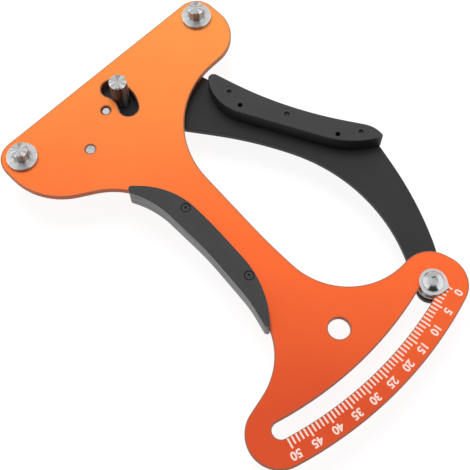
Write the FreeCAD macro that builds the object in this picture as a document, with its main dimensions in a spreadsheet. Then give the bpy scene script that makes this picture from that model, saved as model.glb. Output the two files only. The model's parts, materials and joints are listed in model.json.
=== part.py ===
import FreeCAD, Part
import math
import os
import re

import Sketcher
from FreeCAD import Placement, Rotation, Vector

# Spoke tension meter, in millimetres.
# +X runs from the left fixed post to the right one, +Y away from the handles, +Z out of the front face.
# The origin is midway between the two fixed posts, on the front face of the body plate.

# Driving sizes: lengths in millimetres, angles in degrees, turns and counts as plain numbers
SIZES = {
    # Body plate: head, neck and scale end
    "plate_thickness": 3.0,
    "edge_break": 0.25,
    "post_span": 114.0,
    "head_side": 10.3,
    "head_top": 10.6,
    "head_corner": 10.3,
    "left_shoulder_depth": 23.7,
    "left_shoulder_radius": 33.0,
    "right_shoulder_depth": 25.3,
    "right_shoulder_radius": 19.0,
    "neck_left": 27.1,
    "neck_right": 5.5,
    "outline_reach": 176.0,
    "scale_inset": 0.7,
    "scale_start_angle": -75.4,
    "scale_sweep_angle": 31.4,
    "scale_slot_width": 7.8,
    "scale_rim": 12.0,
    "left_lobe_radius": 14.7,
    "left_lobe_lead_angle": 0.4,
    "right_lobe_radius": 14.1,
    "right_lobe_lead_angle": 0.3,
    "hang_hole_radius": 5.0,
    # Pivot and the moving post's slot
    "pivot_left": 11.68,
    "pivot_below": 8.25,
    "moving_reach": 11.3,
    "moving_angle": 10.0,
    "kidney_left": 2.36,
    "kidney_rise": 1.16,
    "kidney_radius": 13.68,
    "kidney_width": 9.9,
    "kidney_first_angle": -34.7,
    "kidney_last_angle": 27.6,
    # Fixed posts
    "post_radius": 4.0,
    "post_height": 8.1,
    "post_tip_break": 0.5,
    "flange_radius": 7.4,
    "flange_height": 2.0,
    "moving_post_radius": 4.3,
    "moving_post_height": 10.8,
    # Screws from behind into the three posts
    "post_screw_radius": 2.0,
    "post_screw_grip": 5.0,
    "post_head_radius": 3.5,
    "post_head_height": 2.2,
    "post_key": 2.5,
    "post_key_depth": 1.3,
    "sunk_head_radius": 3.6,
    "sunk_key_depth": 1.2,
    # Lever plate
    "lever_gap": 3.0,
    "lever_thickness": 3.0,
    "lever_head_radius": 12.9,
    "lever_head_top": 17.5,
    "lever_head_reach": 21.1,
    "lever_head_corner": 16.0,
    "lever_end_radius": 6.8,
    # Pivot bolt and what runs on it
    "bolt_radius": 3.0,
    "bolt_thread_radius": 2.4,
    "bolt_thread_recess": 1.0,
    "bolt_point_break": 0.6,
    "bolt_head_radius": 5.5,
    "bolt_head_height": 3.4,
    "bolt_key": 4.0,
    "bolt_key_depth": 2.2,
    "spacer_radius": 6.5,
    "bush_wall": 1.5,
    "bush_flange_radius": 6.5,
    "bush_flange_height": 1.0,
    "washer_radius": 10.5,
    "washer_thickness": 1.0,
    "hub_wall": 2.7,
    # Return spring and its two pins
    "wire_radius": 1.0,
    "coil_radius": 7.6,
    "coil_pitch": 2.9,
    "coil_whole_turns": 2,
    "leg_overhang": 3.5,
    "spring_side_gap": 0.2,
    "pin_radius": 2.4,
    "pin_reach_share": 0.1264,
    "lever_pin_angle": -38.0,
    "anchor_pin_angle": -150.7,
    "pin_recess": 0.4,
    "pin_collar_radius": 4.0,
    "pin_collar_height": 1.0,
    "pin_rim_radius": 3.4,
    "pin_rim_height": 1.0,
    # Grip on the body plate
    "body_grip_proud": 4.0,
    "grip_round": 0.3,
    "small_screw_radius": 1.0,
    "small_head_radius": 1.9,
    "small_head_height": 2.0,
    "small_head_recess": 0.15,
    "small_head_side_gap": 0.45,
    "small_key": 1.5,
    "small_key_depth": 1.0,
    "small_nut_flats": 4.0,
    "small_nut_height": 1.6,
    "small_nut_recess": 0.3,
    # Grip on the lever
    "lever_grip_height": 9.0,
    "flush_screw_radius": 1.5,
    "flush_head_radius": 3.1,
    "flush_key": 2.5,
    "flush_key_depth": 1.3,
    "flush_recess": 0.1,
    "flush_nut_flats": 5.5,
    "flush_nut_height": 2.4,
    "dowel_radius": 1.15,
    "dowel_recess": 3.0,
    "dowel_end_recess": 0.5,
    # Pointer on the scale
    "pointer_radius": 6.3,
    "pointer_tip": 7.4,
    "pointer_turn_angle": 9.5,
    "pointer_thickness": 1.0,
    "pointer_float": 0.35,
    "boss_neck_radius": 3.6,
    "boss_rim_radius": 5.9,
    "boss_rim_height": 1.5,
    "pointer_screw_radius": 2.5,
    "pointer_head_radius": 4.8,
    "pointer_head_height": 2.75,
    "pointer_head_rim": 0.7,
    "pointer_key": 3.0,
    "pointer_key_depth": 1.7,
    "pointer_washer_radius": 5.0,
    "pointer_nut_flats": 8.0,
    "pointer_nut_height": 4.0,
    "thread_overhang": 0.5,
    # Clearances
    "running_clearance": 0.05,
    "hole_clearance": 0.1,
    "seat_clearance": 0.1,
    "overrun": 1.0,
}

# Outline corners as shares of the outline reach: x, y and corner radius, all from the origin for the
# body plate and its grip, and all from the pivot for the lever and its grip
HANG_HOLE_SHARE = (-0.0045, -0.8793)
LEFT_NECK_SHARES = ((0.2727, 0.2040), (0.5727, 2.5680))
LEFT_HIP_SHARE = (-0.1955, -0.8841, 0.1932)
RIGHT_HIP_SHARE = (-0.9250, 0.1972)
RIGHT_NECK_SHARE = (-0.6364, 1.7000)
RIGHT_SHOULDER_SHARE = (0.0045, -0.1506, 0.2642)
BODY_GRIP_SHARES = (
    (-0.1960, -0.2903, 0.0057),
    (-0.1653, -0.3540, 0.2557),
    (-0.1653, -0.5511, 0.9091),
    (-0.1835, -0.7273, 0.3409),
    (-0.2034, -0.7977, 0.0068),
    (-0.1966, -0.8114, 0.0068),
    (-0.1193, -0.7170, 0.2841),
    (-0.1023, -0.5000, 1.7045),
    (-0.1023, -0.3568, 0.2443),
    (-0.1852, -0.2705, 0.0091),
)
BODY_GRIP_SCREW_SHARES = ((-0.1203, -0.4259), (-0.1366, -0.6755))
LEVER_CHIN_SHARE = (0.0482, -0.0733, 0.0568)
LEVER_BELLY_SHARES = ((0.2399, -0.3401, 1.0741), (0.3912, -0.6811, 0.4816))
LEVER_BACK_SHARES = (
    (0.3448, -0.9020, 0.3409),
    (0.4164, -0.7759, 1.0795),
    (0.4755, -0.5679, 0.0227),
    (0.3405, -0.3509, 1.0795),
    (0.2777, -0.0923, 0.0170),
)
LEVER_GRIP_SHARES = (
    (0.2800, -0.1060, 0.0153),
    (0.2169, -0.2077, 0.1250),
    (0.3919, -0.5571, 0.2386),
    (0.4724, -0.6001, 0.0057),
    (0.4789, -0.5628, 0.0800),
    (0.3436, -0.3520, 1.0795),
)
LEVER_GRIP_SCREW_SHARES = ((0.2737, -0.2060), (0.3362, -0.3673), (0.4371, -0.5472))
DOWEL_SHARES = ((0.2658, -0.2571), (0.3885, -0.5077))

# Where the tangent lines of the end lobes meet, as angles seen from the lobe's centre
LEFT_LOBE_ANGLE = 131.9
LEFT_LOBE_SPREAD_ANGLE = 61.8
LEVER_END_ANGLES = (193.76, 279.29)
LEVER_END_SPREAD_ANGLE = 85.53

FULL_TURN = 360.0
HALF_TURN = 180.0
QUARTER_TURN = 90.0
HEX_SIDES = 6
GAP_POINTS = 700
SAME_POINT = 1e-6
SAME_HEIGHT = 1e-4

doc = FreeCAD.newDocument("SpokeTensionMeter")
sheet = doc.addObject("Spreadsheet::Sheet", "Sizes")
aliases = []


def enter(alias, value):
    """Write one named value into the next row of the sheet."""
    aliases.append(alias)
    row = len(aliases)
    sheet.set("A%d" % row, alias)
    sheet.set("B%d" % row, str(value))
    sheet.setAlias("B%d" % row, alias)


def work_out(alias, value):
    """Enter a value that follows from the driving sizes."""
    enter(alias, value)
    doc.recompute()


for alias, driving_value in SIZES.items():
    enter(alias, driving_value)
enter("scale_radius", "=outline_reach - scale_inset")
enter("pin_reach", "=outline_reach * pin_reach_share")
doc.recompute()


# Formulas on the sheet

def formula(text):
    """Put the sheet's name before every alias in a formula."""
    return re.sub("[a-z_]+", lambda word: "Sizes." + word[0] if word[0] in aliases else word[0], text)


def number(text):
    return float(sheet.evalExpression(formula(text)))


def bind(thing, target, text):
    thing.setExpression(target, formula(text))


def place(thing, x="0", y="0", z="0", flipped=False):
    """Place a piece by formulas; flipped turns its top towards the back."""
    if flipped:
        thing.Placement = Placement(Vector(), Rotation(Vector(1, 0, 0), HALF_TURN))
    bind(thing, "Placement.Base.x", x)
    bind(thing, "Placement.Base.y", y)
    bind(thing, "Placement.Base.z", z)
    return thing


def along_circle(reach, angle, part):
    """Formula for x (part cos) or y (part sin) of a place at reach and angle about the pivot."""
    start = "-pivot_left" if part == "cos" else "-pivot_below"
    return "%s + (%s) * %s((%s) * 1 deg)" % (start, reach, part, angle)


def about_pivot(reach, angle):
    return along_circle(reach, angle, "cos"), along_circle(reach, angle, "sin")


def from_pivot(share):
    """Formulas for a place given from the pivot as shares of the outline reach."""
    return "-pivot_left + outline_reach * %s" % share[0], "-pivot_below + outline_reach * %s" % share[1]


def from_origin(share):
    return "outline_reach * %s" % share[0], "outline_reach * %s" % share[1]


# Heights of the flat faces
PLATE_BACK = "-plate_thickness"
LEVER_FRONT = "-(plate_thickness + lever_gap)"
LEVER_BACK = "-(plate_thickness + lever_gap + lever_thickness)"
PIVOT = ("-pivot_left", "-pivot_below")
MOVING_POST = about_pivot("moving_reach", "moving_angle")
POINTER = about_pivot("scale_radius", "scale_start_angle")
ANCHOR_PIN = about_pivot("pin_reach", "anchor_pin_angle")
LEVER_PIN = about_pivot("pin_reach", "lever_pin_angle")


# Outlines

def point(formulas):
    return Vector(number(formulas[0]), number(formulas[1]), 0)


def rounded(corners):
    """Closed outline of straight runs and tangent arcs through corners given as (point, radius)."""
    count = len(corners)
    spots = [corner[0] for corner in corners]
    tangents = []
    halves = []
    for index, (spot, radius) in enumerate(corners):
        back = spots[index - 1] - spot
        ahead = spots[(index + 1) % count] - spot
        halves.append(back.getAngle(ahead) / 2)
        tangents.append(radius / math.tan(halves[index]))
    rooms = [1.0] * count
    for index in range(count):
        after = (index + 1) % count
        used = tangents[index] + tangents[after]
        side = spots[index].distanceToPoint(spots[after])
        if used > side:
            rooms[index] = min(rooms[index], side / used)
            rooms[after] = min(rooms[after], side / used)
    starts, middles, ends = [], [], []
    for index, spot in enumerate(spots):
        back = (spots[index - 1] - spot).normalize()
        ahead = (spots[(index + 1) % count] - spot).normalize()
        tangent = tangents[index] * rooms[index]
        radius = tangent * math.tan(halves[index])
        inward = (back + ahead).normalize()
        starts.append(spot + back * tangent)
        ends.append(spot + ahead * tangent)
        middles.append(spot + inward * (radius / math.sin(halves[index]) - radius))
    edges = []
    for index in range(count):
        if starts[index].distanceToPoint(ends[index]) > SAME_POINT:
            edges.append(Part.Arc(starts[index], middles[index], ends[index]))
        after = starts[(index + 1) % count]
        if ends[index].distanceToPoint(after) > SAME_POINT:
            edges.append(Part.LineSegment(ends[index], after))
    return edges


def polar(centre, radius, angle):
    return centre + Vector(math.cos(angle), math.sin(angle), 0) * radius


def arc_slot(centre, radius, half_width, first, last):
    """Slot along an arc from the angle first to the larger angle last, with round ends."""
    middle = (first + last) / 2
    outer, inner = radius + half_width, radius - half_width
    head_end = polar(polar(centre, radius, last), half_width, last + math.pi / 2)
    tail_end = polar(polar(centre, radius, first), half_width, first - math.pi / 2)
    return [
        Part.Arc(*(polar(centre, outer, angle) for angle in (first, middle, last))),
        Part.Arc(polar(centre, outer, last), head_end, polar(centre, inner, last)),
        Part.Arc(*(polar(centre, inner, angle) for angle in (last, middle, first))),
        Part.Arc(polar(centre, inner, first), tail_end, polar(centre, outer, first)),
    ]


def lobe_corner(angle, reach, along):
    """Corner of a scale lobe: out from the pivot by reach, then along the scale by along."""
    outward = Vector(math.cos(angle), math.sin(angle), 0)
    sideways = Vector(-math.sin(angle), math.cos(angle), 0)
    return point(PIVOT) + outward * reach + sideways * along


def corner_about(centre, radius, facing, spread):
    """Corner of two lines that touch a circle, seen from its centre at the angle facing."""
    facing, spread = math.radians(facing), math.radians(spread)
    return centre + Vector(math.cos(facing), math.sin(facing), 0) * (radius / math.cos(spread / 2))


def shared(shares, origin=Vector()):
    """Corners from shares of the outline reach, measured from origin."""
    reach = number("outline_reach")
    return [(origin + Vector(x * reach, y * reach, 0), radius * reach) for x, y, radius in shares]


def left_edge(shift=0.0):
    """Corners of the body plate's left side from shoulder to hip, moved to the left by shift."""
    reach = number("outline_reach")
    shoulder = Vector(-number("post_span / 2 + head_side"), -number("left_shoulder_depth"), 0)
    corners = [(shoulder, number("left_shoulder_radius"))]
    for y, radius in LEFT_NECK_SHARES:
        corners.append((Vector(-number("neck_left"), y * -reach, 0), radius * reach))
    corners += shared([LEFT_HIP_SHARE])
    return [(spot - Vector(shift, 0, 0), radius) for spot, radius in corners]


def left_lobe_corners():
    angle = math.radians(number("scale_start_angle - scale_sweep_angle - left_lobe_lead_angle"))
    radius = number("left_lobe_radius")
    outer = number("scale_radius + scale_slot_width / 2 + scale_rim")
    centre = polar(point(PIVOT), outer - radius, angle)
    top = corner_about(centre, radius, LEFT_LOBE_ANGLE, LEFT_LOBE_SPREAD_ANGLE)
    return [(top, radius), (lobe_corner(angle, outer, -radius), radius)]


def body_plate_corners():
    reach = number("outline_reach")
    side = number("post_span / 2 + head_side")
    top = number("head_top")
    outer = number("scale_radius + scale_slot_width / 2 + scale_rim")
    corner = number("head_corner")
    neck = -number("neck_right")
    right_angle = math.radians(number("scale_start_angle + right_lobe_lead_angle"))
    left_angle = math.radians(number("scale_start_angle - scale_sweep_angle - left_lobe_lead_angle"))
    right_radius = number("right_lobe_radius")
    half_fan = (right_angle - left_angle) / 2
    rim_corner = polar(point(PIVOT), outer / math.cos(half_fan), left_angle + half_fan)
    hip_y, hip_radius = (share * reach for share in RIGHT_HIP_SHARE)
    neck_y, neck_radius = (share * reach for share in RIGHT_NECK_SHARE)
    right_side = lobe_corner(right_angle, outer, right_radius)
    upward = lobe_corner(right_angle, outer - right_radius, right_radius) - right_side
    top_of_lobe = right_side + upward * ((hip_y - right_side.y) / upward.y)
    corners = [(Vector(side, top, 0), corner), (Vector(-side, top, 0), corner)]
    corners += left_edge() + left_lobe_corners()
    corners += [(rim_corner, outer), (right_side, right_radius), (top_of_lobe, right_radius)]
    corners += [(Vector(neck, hip_y, 0), hip_radius), (Vector(neck, neck_y, 0), neck_radius)]
    corners += shared([RIGHT_SHOULDER_SHARE])
    corners += [(Vector(side, -number("right_shoulder_depth"), 0), number("right_shoulder_radius"))]
    return corners


def lever_corners():
    pivot = point(PIVOT)
    head = number("lever_head_radius")
    top = number("lever_head_top")
    corner = number("lever_head_corner")
    end = number("lever_end_radius")
    chin, chin_radius = shared([LEVER_CHIN_SHARE], pivot)[0]
    corners = [(pivot + Vector(number("lever_head_reach"), top, 0), corner)]
    corners += [(pivot + Vector(-head, top, 0), corner), (pivot + Vector(-head, -head, 0), head)]
    corners += [(Vector(chin.x, pivot.y - head, 0), chin_radius)]
    corners += shared(LEVER_BELLY_SHARES, pivot)
    for facing in LEVER_END_ANGLES:
        corners.append((corner_about(point(POINTER), end, facing, LEVER_END_SPREAD_ANGLE), end))
    return corners + shared(LEVER_BACK_SHARES, pivot)


# Pieces made from sketches

def add_sketch(body, name, plane="XY_Plane", height="0"):
    sketch = body.newObject("Sketcher::SketchObject", name)
    planes = {feature.Role: feature for feature in body.Origin.OriginFeatures}
    sketch.AttachmentSupport = [(planes[plane], "")]
    sketch.MapMode = "FlatFace"
    bind(sketch, "AttachmentOffset.Base.z", height)
    return sketch


def pad(label, edges, thickness):
    """Flat piece of an outline, from its own zero height upwards."""
    body = doc.addObject("PartDesign::Body", label)
    sketch = add_sketch(body, label + "_outline")
    sketch.addGeometry(edges, False)
    block = body.newObject("PartDesign::Pad", label + "_pad")
    block.Profile = sketch
    bind(block, "Length", thickness)
    doc.recompute()
    return body


def pocket(body, name, sketch, depth=None, upwards=False):
    """Cut a sketch down, or upwards, to a depth or right through, and make sure that it cut."""
    before = body.Shape.Volume
    cut = body.newObject("PartDesign::Pocket", name)
    cut.Profile = sketch
    cut.Reversed = upwards
    if depth is None:
        cut.Type = "ThroughAll"
    else:
        bind(cut, "Length", depth)
    doc.recompute()
    if not body.Shape.Volume < before:
        raise RuntimeError("%s cuts nothing" % name)


def bound_constraint(sketch, name, constraint, text):
    """Add a dimension to a sketch and bind it to the sheet."""
    sketch.renameConstraint(sketch.addConstraint(constraint), name)
    bind(sketch, "Constraints." + name, text)


def drill(body, name, places, radius, height="0", depth=None, upwards=True):
    """Round holes at places given as pairs of formulas, all of one radius."""
    sketch = add_sketch(body, name + "_circles", height=height)
    for index, spot in enumerate(places):
        sketch.addGeometry(Part.Circle(point(spot), Vector(0, 0, 1), number(radius)), False)
        for word, text in (("DistanceX", spot[0]), ("DistanceY", spot[1])):
            placing = Sketcher.Constraint(word, -1, 1, index, 3, number(text))
            bound_constraint(sketch, "%s%d" % (word, index), placing, text)
        sizing = Sketcher.Constraint("Radius", index, number(radius))
        bound_constraint(sketch, "Radius%d" % index, sizing, radius)
    pocket(body, name, sketch, depth, upwards)


def countersink(body, name, spot, hole, head, top, upwards=False):
    """Cone cut for a flush screw: its wide end is at the height top, or at the bottom if upwards."""
    cone = body.newObject("PartDesign::SubtractiveCone", name)
    planes = {feature.Role: feature for feature in body.Origin.OriginFeatures}
    cone.AttachmentSupport = [(planes["XY_Plane"], "")]
    cone.MapMode = "FlatFace"
    depth = "(%s - (%s))" % (head, hole)
    bind(cone, "Height", depth)
    bind(cone, "Radius1", head if upwards else hole)
    bind(cone, "Radius2", hole if upwards else head)
    bind(cone, "AttachmentOffset.Base.x", spot[0])
    bind(cone, "AttachmentOffset.Base.y", spot[1])
    bind(cone, "AttachmentOffset.Base.z", "0" if upwards else "%s - %s" % (top, depth))
    doc.recompute()


def hexagon(centre, flats):
    """Edges of a hexagon with the given distance across its flats."""
    step = 2 * math.pi / HEX_SIDES
    reach = flats / 2 / math.cos(step / 2)
    spots = [polar(centre, reach, step * side) for side in range(HEX_SIDES)]
    return [Part.LineSegment(spots[side - 1], spots[side]) for side in range(HEX_SIDES)]


def hex_pocket(body, name, places, flats, height, depth, upwards=False):
    sketch = add_sketch(body, name + "_hexagons", height=height)
    for spot in places:
        sketch.addGeometry(hexagon(point(spot), number(flats)), False)
    pocket(body, name, sketch, depth, upwards)


def flat_faces(shape, heights):
    """Names of the level faces of a shape at the given heights."""
    names = []
    for index, face in enumerate(shape.Faces, start=1):
        box = face.BoundBox
        nearest = min(abs(box.ZMax - height) for height in heights)
        if max(box.ZLength, nearest) < SAME_HEIGHT:
            names.append("Face%d" % index)
    return names


def break_edges(body, name, kind, amount, heights):
    """Chamfer or round all edges of the level faces at the given heights."""
    base = body.Tip
    feature = body.newObject("PartDesign::" + kind, name)
    feature.Base = (base, flat_faces(base.Shape, [number(height) for height in heights]))
    bind(feature, "Size" if kind == "Chamfer" else "Radius", amount)
    doc.recompute()


def turned(label, profile):
    """Piece turned about its own Z axis from a closed profile of (radius, height) formulas."""
    body = doc.addObject("PartDesign::Body", label)
    sketch = add_sketch(body, label + "_profile", "XZ_Plane")
    spots = [point(corner) for corner in profile]
    count = len(spots)
    for index in range(count):
        sketch.addGeometry(Part.LineSegment(spots[index], spots[(index + 1) % count]), False)
    for index in range(count):
        sketch.addConstraint(Sketcher.Constraint("Coincident", index, 2, (index + 1) % count, 1))
    for index, corner in enumerate(profile):
        for word, axis, text in (("DistanceX", -2, corner[0]), ("DistanceY", -1, corner[1])):
            if text == "0":
                sketch.addConstraint(Sketcher.Constraint("PointOnObject", index, 1, axis))
            else:
                placing = Sketcher.Constraint(word, -1, 1, index, 1, number(text))
                bound_constraint(sketch, "%s%d" % (word, index), placing, text)
    turning = body.newObject("PartDesign::Revolution", label + "_turning")
    turning.Profile = sketch
    turning.ReferenceAxis = (sketch, ["V_Axis"])
    turning.Angle = FULL_TURN
    doc.recompute()
    return body


def ring(label, inner, outer, height):
    return turned(label, [(inner, "0"), (outer, "0"), (outer, height), (inner, height)])


def nut(label, flats, height, bore):
    body = pad(label, hexagon(Vector(), number(flats)), height)
    drill(body, label + "_bore", [("0", "0")], bore)
    break_edges(body, label + "_edge_break", "Chamfer", "edge_break", ["0", height])
    return body


def group(label, members):
    """Several like pieces in one node, each a solid of its own."""
    together = doc.addObject("Part::Compound", label)
    together.Links = members
    doc.recompute()
    return together


nodes = []


def keep(node):
    nodes.append(node)
    return node


# Body plate
slot_last = math.radians(number("scale_start_angle"))
slot_first = math.radians(number("scale_start_angle - scale_sweep_angle"))
kidney_centre = point(("-(pivot_left + kidney_left)", "-pivot_below + kidney_rise"))
kidney_first = math.radians(number("kidney_first_angle"))
kidney_last = math.radians(number("kidney_last_angle"))
scale_slot = arc_slot(point(PIVOT), number("scale_radius"), number("scale_slot_width / 2"),
                      slot_first, slot_last)
kidney_slot = arc_slot(kidney_centre, number("kidney_radius"), number("kidney_width / 2"),
                       kidney_first, kidney_last)
HANG_HOLE = from_pivot(HANG_HOLE_SHARE)
FIXED_POSTS = (("-post_span / 2", "0"), ("post_span / 2", "0"))
BODY_GRIP_SCREWS = [from_origin(share) for share in BODY_GRIP_SCREW_SHARES]

plate = pad("body_plate", rounded(body_plate_corners()), "plate_thickness")
slots = add_sketch(plate, "body_plate_slots")
slots.addGeometry(scale_slot + kidney_slot, False)
pocket(plate, "body_plate_slot_cut", slots, upwards=True)
drill(plate, "hang_hole", [HANG_HOLE], "hang_hole_radius")
drill(plate, "post_screw_holes", FIXED_POSTS, "post_screw_radius + hole_clearance")
drill(plate, "pivot_bolt_hole", [PIVOT], "bolt_thread_radius + running_clearance")
drill(plate, "anchor_pin_hole", [ANCHOR_PIN], "pin_radius + running_clearance")
drill(plate, "grip_screw_holes", BODY_GRIP_SCREWS, "small_screw_radius + hole_clearance")
break_edges(plate, "body_plate_edge_break", "Chamfer", "edge_break", ["0", "plate_thickness"])
keep(place(plate, z=PLATE_BACK))


# Lever plate
LEVER_GRIP_SCREWS = [from_pivot(share) for share in LEVER_GRIP_SCREW_SHARES]
DOWELS = [from_pivot(share) for share in DOWEL_SHARES]

lever = pad("lever_plate", rounded(lever_corners()), "lever_thickness")
drill(lever, "bush_hole", [PIVOT], "bolt_radius + running_clearance + bush_wall")
drill(lever, "moving_post_hole", [MOVING_POST], "post_screw_radius + hole_clearance")
drill(lever, "spring_pin_hole", [LEVER_PIN], "pin_radius + running_clearance")
drill(lever, "pointer_hole", [POINTER], "pointer_screw_radius + hole_clearance")
drill(lever, "lever_grip_holes", LEVER_GRIP_SCREWS, "flush_screw_radius + hole_clearance")
drill(lever, "dowel_holes", DOWELS, "dowel_radius + running_clearance")
break_edges(lever, "lever_edge_break", "Chamfer", "edge_break", ["0", "lever_thickness"])
countersink(lever, "moving_post_sink", MOVING_POST, "post_screw_radius + hole_clearance",
            "sunk_head_radius", "lever_thickness", upwards=True)
keep(place(lever, z=LEVER_BACK))


# Posts and the screws that hold them from behind

def post(label, height, radius, flange=()):
    """Turned post with a small edge break at its tip and a blind screw hole from below."""
    hole = "post_screw_radius + running_clearance"
    hole_top = "post_screw_grip + overrun"
    profile = [(hole, "0")]
    profile += flange or [(radius, "0")]
    profile += [(radius, "%s - post_tip_break" % height), ("%s - post_tip_break" % radius, height),
                ("0", height), ("0", hole_top), (hole, hole_top)]
    return turned(label, profile)


FLANGE = [("flange_radius", "0"), ("flange_radius", "flange_height - edge_break"),
          ("flange_radius - edge_break", "flange_height"), ("post_radius", "flange_height")]
post_screws = []
for side, spot in zip(("left", "right"), FIXED_POSTS):
    keep(place(post("fixed_post_" + side, "post_height", "post_radius", FLANGE), *spot))
    label = "post_screw_" + side
    end = "-(plate_thickness + post_screw_grip)"
    screw = turned(label, [
        ("0", end), ("post_screw_radius", end), ("post_screw_radius", "0"), ("post_head_radius", "0"),
        ("post_head_radius", "post_head_height - edge_break"),
        ("post_head_radius - edge_break", "post_head_height"), ("0", "post_head_height")])
    hex_pocket(screw, label + "_key", [("0", "0")], "post_key", "post_head_height", "post_key_depth")
    post_screws.append(place(screw, *spot, PLATE_BACK, True))
keep(group("post_screws", post_screws))

moving_length = "(plate_thickness + lever_gap + moving_post_height)"
keep(place(post("moving_post", moving_length, "moving_post_radius"), *MOVING_POST, LEVER_FRONT))


def sunk_screw(label, radius, head_radius, length, key, key_depth):
    """Flush screw with its head's top at zero height and its thread pointing down."""
    end = "-(%s)" % length
    screw = turned(label, [("0", end), (radius, end), (radius, "-(%s - %s)" % (head_radius, radius)),
                           (head_radius, "0"), ("0", "0")])
    hex_pocket(screw, label + "_key", [("0", "0")], key, "0", key_depth)
    return screw


keep(place(sunk_screw("moving_post_screw", "post_screw_radius", "sunk_head_radius",
                      "lever_thickness + post_screw_grip", "post_key", "sunk_key_depth"),
           *MOVING_POST, LEVER_BACK, True))


# Return spring: the angles at which its legs leave the coil, the sweep between them and its rise
leg_reach = number("coil_radius + pin_radius + wire_radius + seat_clearance")
lean = math.degrees(math.acos(leg_reach / number("pin_reach")))
coil_start = number("anchor_pin_angle") - lean
coil_end = number("lever_pin_angle") + lean
coil_sweep = (coil_start - coil_end) % FULL_TURN + FULL_TURN * number("coil_whole_turns")
coil_steps = math.ceil(coil_sweep / QUARTER_TURN)
work_out("coil_rise", number("coil_pitch") * coil_sweep / FULL_TURN * (coil_steps - 1) / coil_steps)


# Pivot: bolt from behind, spacer in the gap, bush in the lever, washers and hub for the spring
BORE = "bolt_radius + hole_clearance"
WASHER_DEPTH = "(plate_thickness + lever_gap + lever_thickness + bush_flange_height + seat_clearance)"
HUB_DEPTH = "(%s + washer_thickness)" % WASHER_DEPTH
HUB_LENGTH = "(2 * spring_side_gap + 2 * wire_radius + coil_rise)"
CAP_DEPTH = "(%s + %s)" % (HUB_DEPTH, HUB_LENGTH)
SHOULDER_LENGTH = "(%s + washer_thickness - plate_thickness)" % CAP_DEPTH
LEVER_LEG_DEPTH = "(%s + spring_side_gap + wire_radius)" % HUB_DEPTH
BODY_LEG_DEPTH = "(%s + coil_rise)" % LEVER_LEG_DEPTH

thread_end = "-(plate_thickness - bolt_thread_recess)"
head_top = "(%s + bolt_head_height)" % SHOULDER_LENGTH
bolt = turned("pivot_bolt", [
    ("0", thread_end), ("bolt_thread_radius - bolt_point_break", thread_end),
    ("bolt_thread_radius", "%s + bolt_point_break" % thread_end), ("bolt_thread_radius", "0"),
    ("bolt_radius", "0"), ("bolt_radius", SHOULDER_LENGTH), ("bolt_head_radius", SHOULDER_LENGTH),
    ("bolt_head_radius", "%s - bolt_point_break" % head_top),
    ("bolt_head_radius - bolt_point_break", head_top), ("0", head_top)])
hex_pocket(bolt, "pivot_bolt_key", [("0", "0")], "bolt_key", head_top, "bolt_key_depth")
keep(place(bolt, *PIVOT, PLATE_BACK, True))

spacer = ring("pivot_spacer", BORE, "spacer_radius", "lever_gap - seat_clearance")
keep(place(spacer, *PIVOT, PLATE_BACK, True))

sleeve = "bolt_radius + running_clearance"
bush = turned("pivot_bush", [
    (sleeve, "0"), (sleeve + " + bush_wall", "0"), (sleeve + " + bush_wall", "lever_thickness"),
    ("bush_flange_radius", "lever_thickness"),
    ("bush_flange_radius", "lever_thickness + bush_flange_height"),
    (sleeve, "lever_thickness + bush_flange_height")])
keep(place(bush, *PIVOT, LEVER_FRONT, True))

spring_washer = ring("spring_washer", BORE, "washer_radius", "washer_thickness")
keep(place(spring_washer, *PIVOT, "-" + WASHER_DEPTH, True))
hub = ring("spring_hub", BORE, "bolt_radius + hub_wall", HUB_LENGTH)
keep(place(hub, *PIVOT, "-" + HUB_DEPTH, True))
cap_washer = ring("cap_washer", BORE, "washer_radius", "washer_thickness")
keep(place(cap_washer, *PIVOT, "-" + CAP_DEPTH, True))


# Pins that the spring's legs bear on

def spring_pin(label, carrier_thickness, leg_height):
    """Shouldered pin from behind: its shank sits in the plate that carries it."""
    shank_end = "-(%s - pin_recess)" % carrier_thickness
    rim = "(%s + wire_radius + seat_clearance)" % leg_height
    tip = "(%s + pin_rim_height)" % rim
    return turned(label, [
        ("0", shank_end), ("pin_radius", shank_end), ("pin_radius", "0"), ("pin_collar_radius", "0"),
        ("pin_collar_radius", "pin_collar_height"), ("pin_radius", "pin_collar_height"),
        ("pin_radius", rim), ("pin_rim_radius", rim), ("pin_rim_radius", "%s - edge_break" % tip),
        ("pin_rim_radius - edge_break", tip), ("0", tip)])


anchor_leg = "(%s - plate_thickness)" % BODY_LEG_DEPTH
lever_leg = "(%s - plate_thickness - lever_gap - lever_thickness)" % LEVER_LEG_DEPTH
anchor_pin = spring_pin("spring_anchor_pin", "plate_thickness", anchor_leg)
keep(place(anchor_pin, *ANCHOR_PIN, PLATE_BACK, True))
lever_pin = spring_pin("spring_lever_pin", "lever_thickness", lever_leg)
keep(place(lever_pin, *LEVER_PIN, LEVER_BACK, True))


def tangent_arc(start, corner, end):
    """Arc from start to end whose end tangents meet at corner, at equal distances from both."""
    chord_middle = (start + end) / 2
    tangent = start.distanceToPoint(corner)
    drop = corner.distanceToPoint(chord_middle)
    radius = tangent * start.distanceToPoint(chord_middle) / drop
    to_centre = (chord_middle - corner).normalize()
    middle = corner + to_centre * (math.hypot(radius, tangent) - radius)
    return Part.Arc(start, middle, end)


def biarc(start, start_way, end, end_way):
    """Two arcs from start to end that leave and arrive along the given unit directions."""
    span = end - start
    ways = start_way + end_way
    bend = 2 * (1 - start_way.dot(end_way))
    lean_in = span.dot(ways)
    reach = (math.sqrt(lean_in ** 2 + bend * span.dot(span)) - lean_in) / bend
    first_corner, last_corner = start + start_way * reach, end - end_way * reach
    meeting = (first_corner + last_corner) / 2
    return [tangent_arc(start, first_corner, meeting), tangent_arc(meeting, last_corner, end)]


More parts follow.
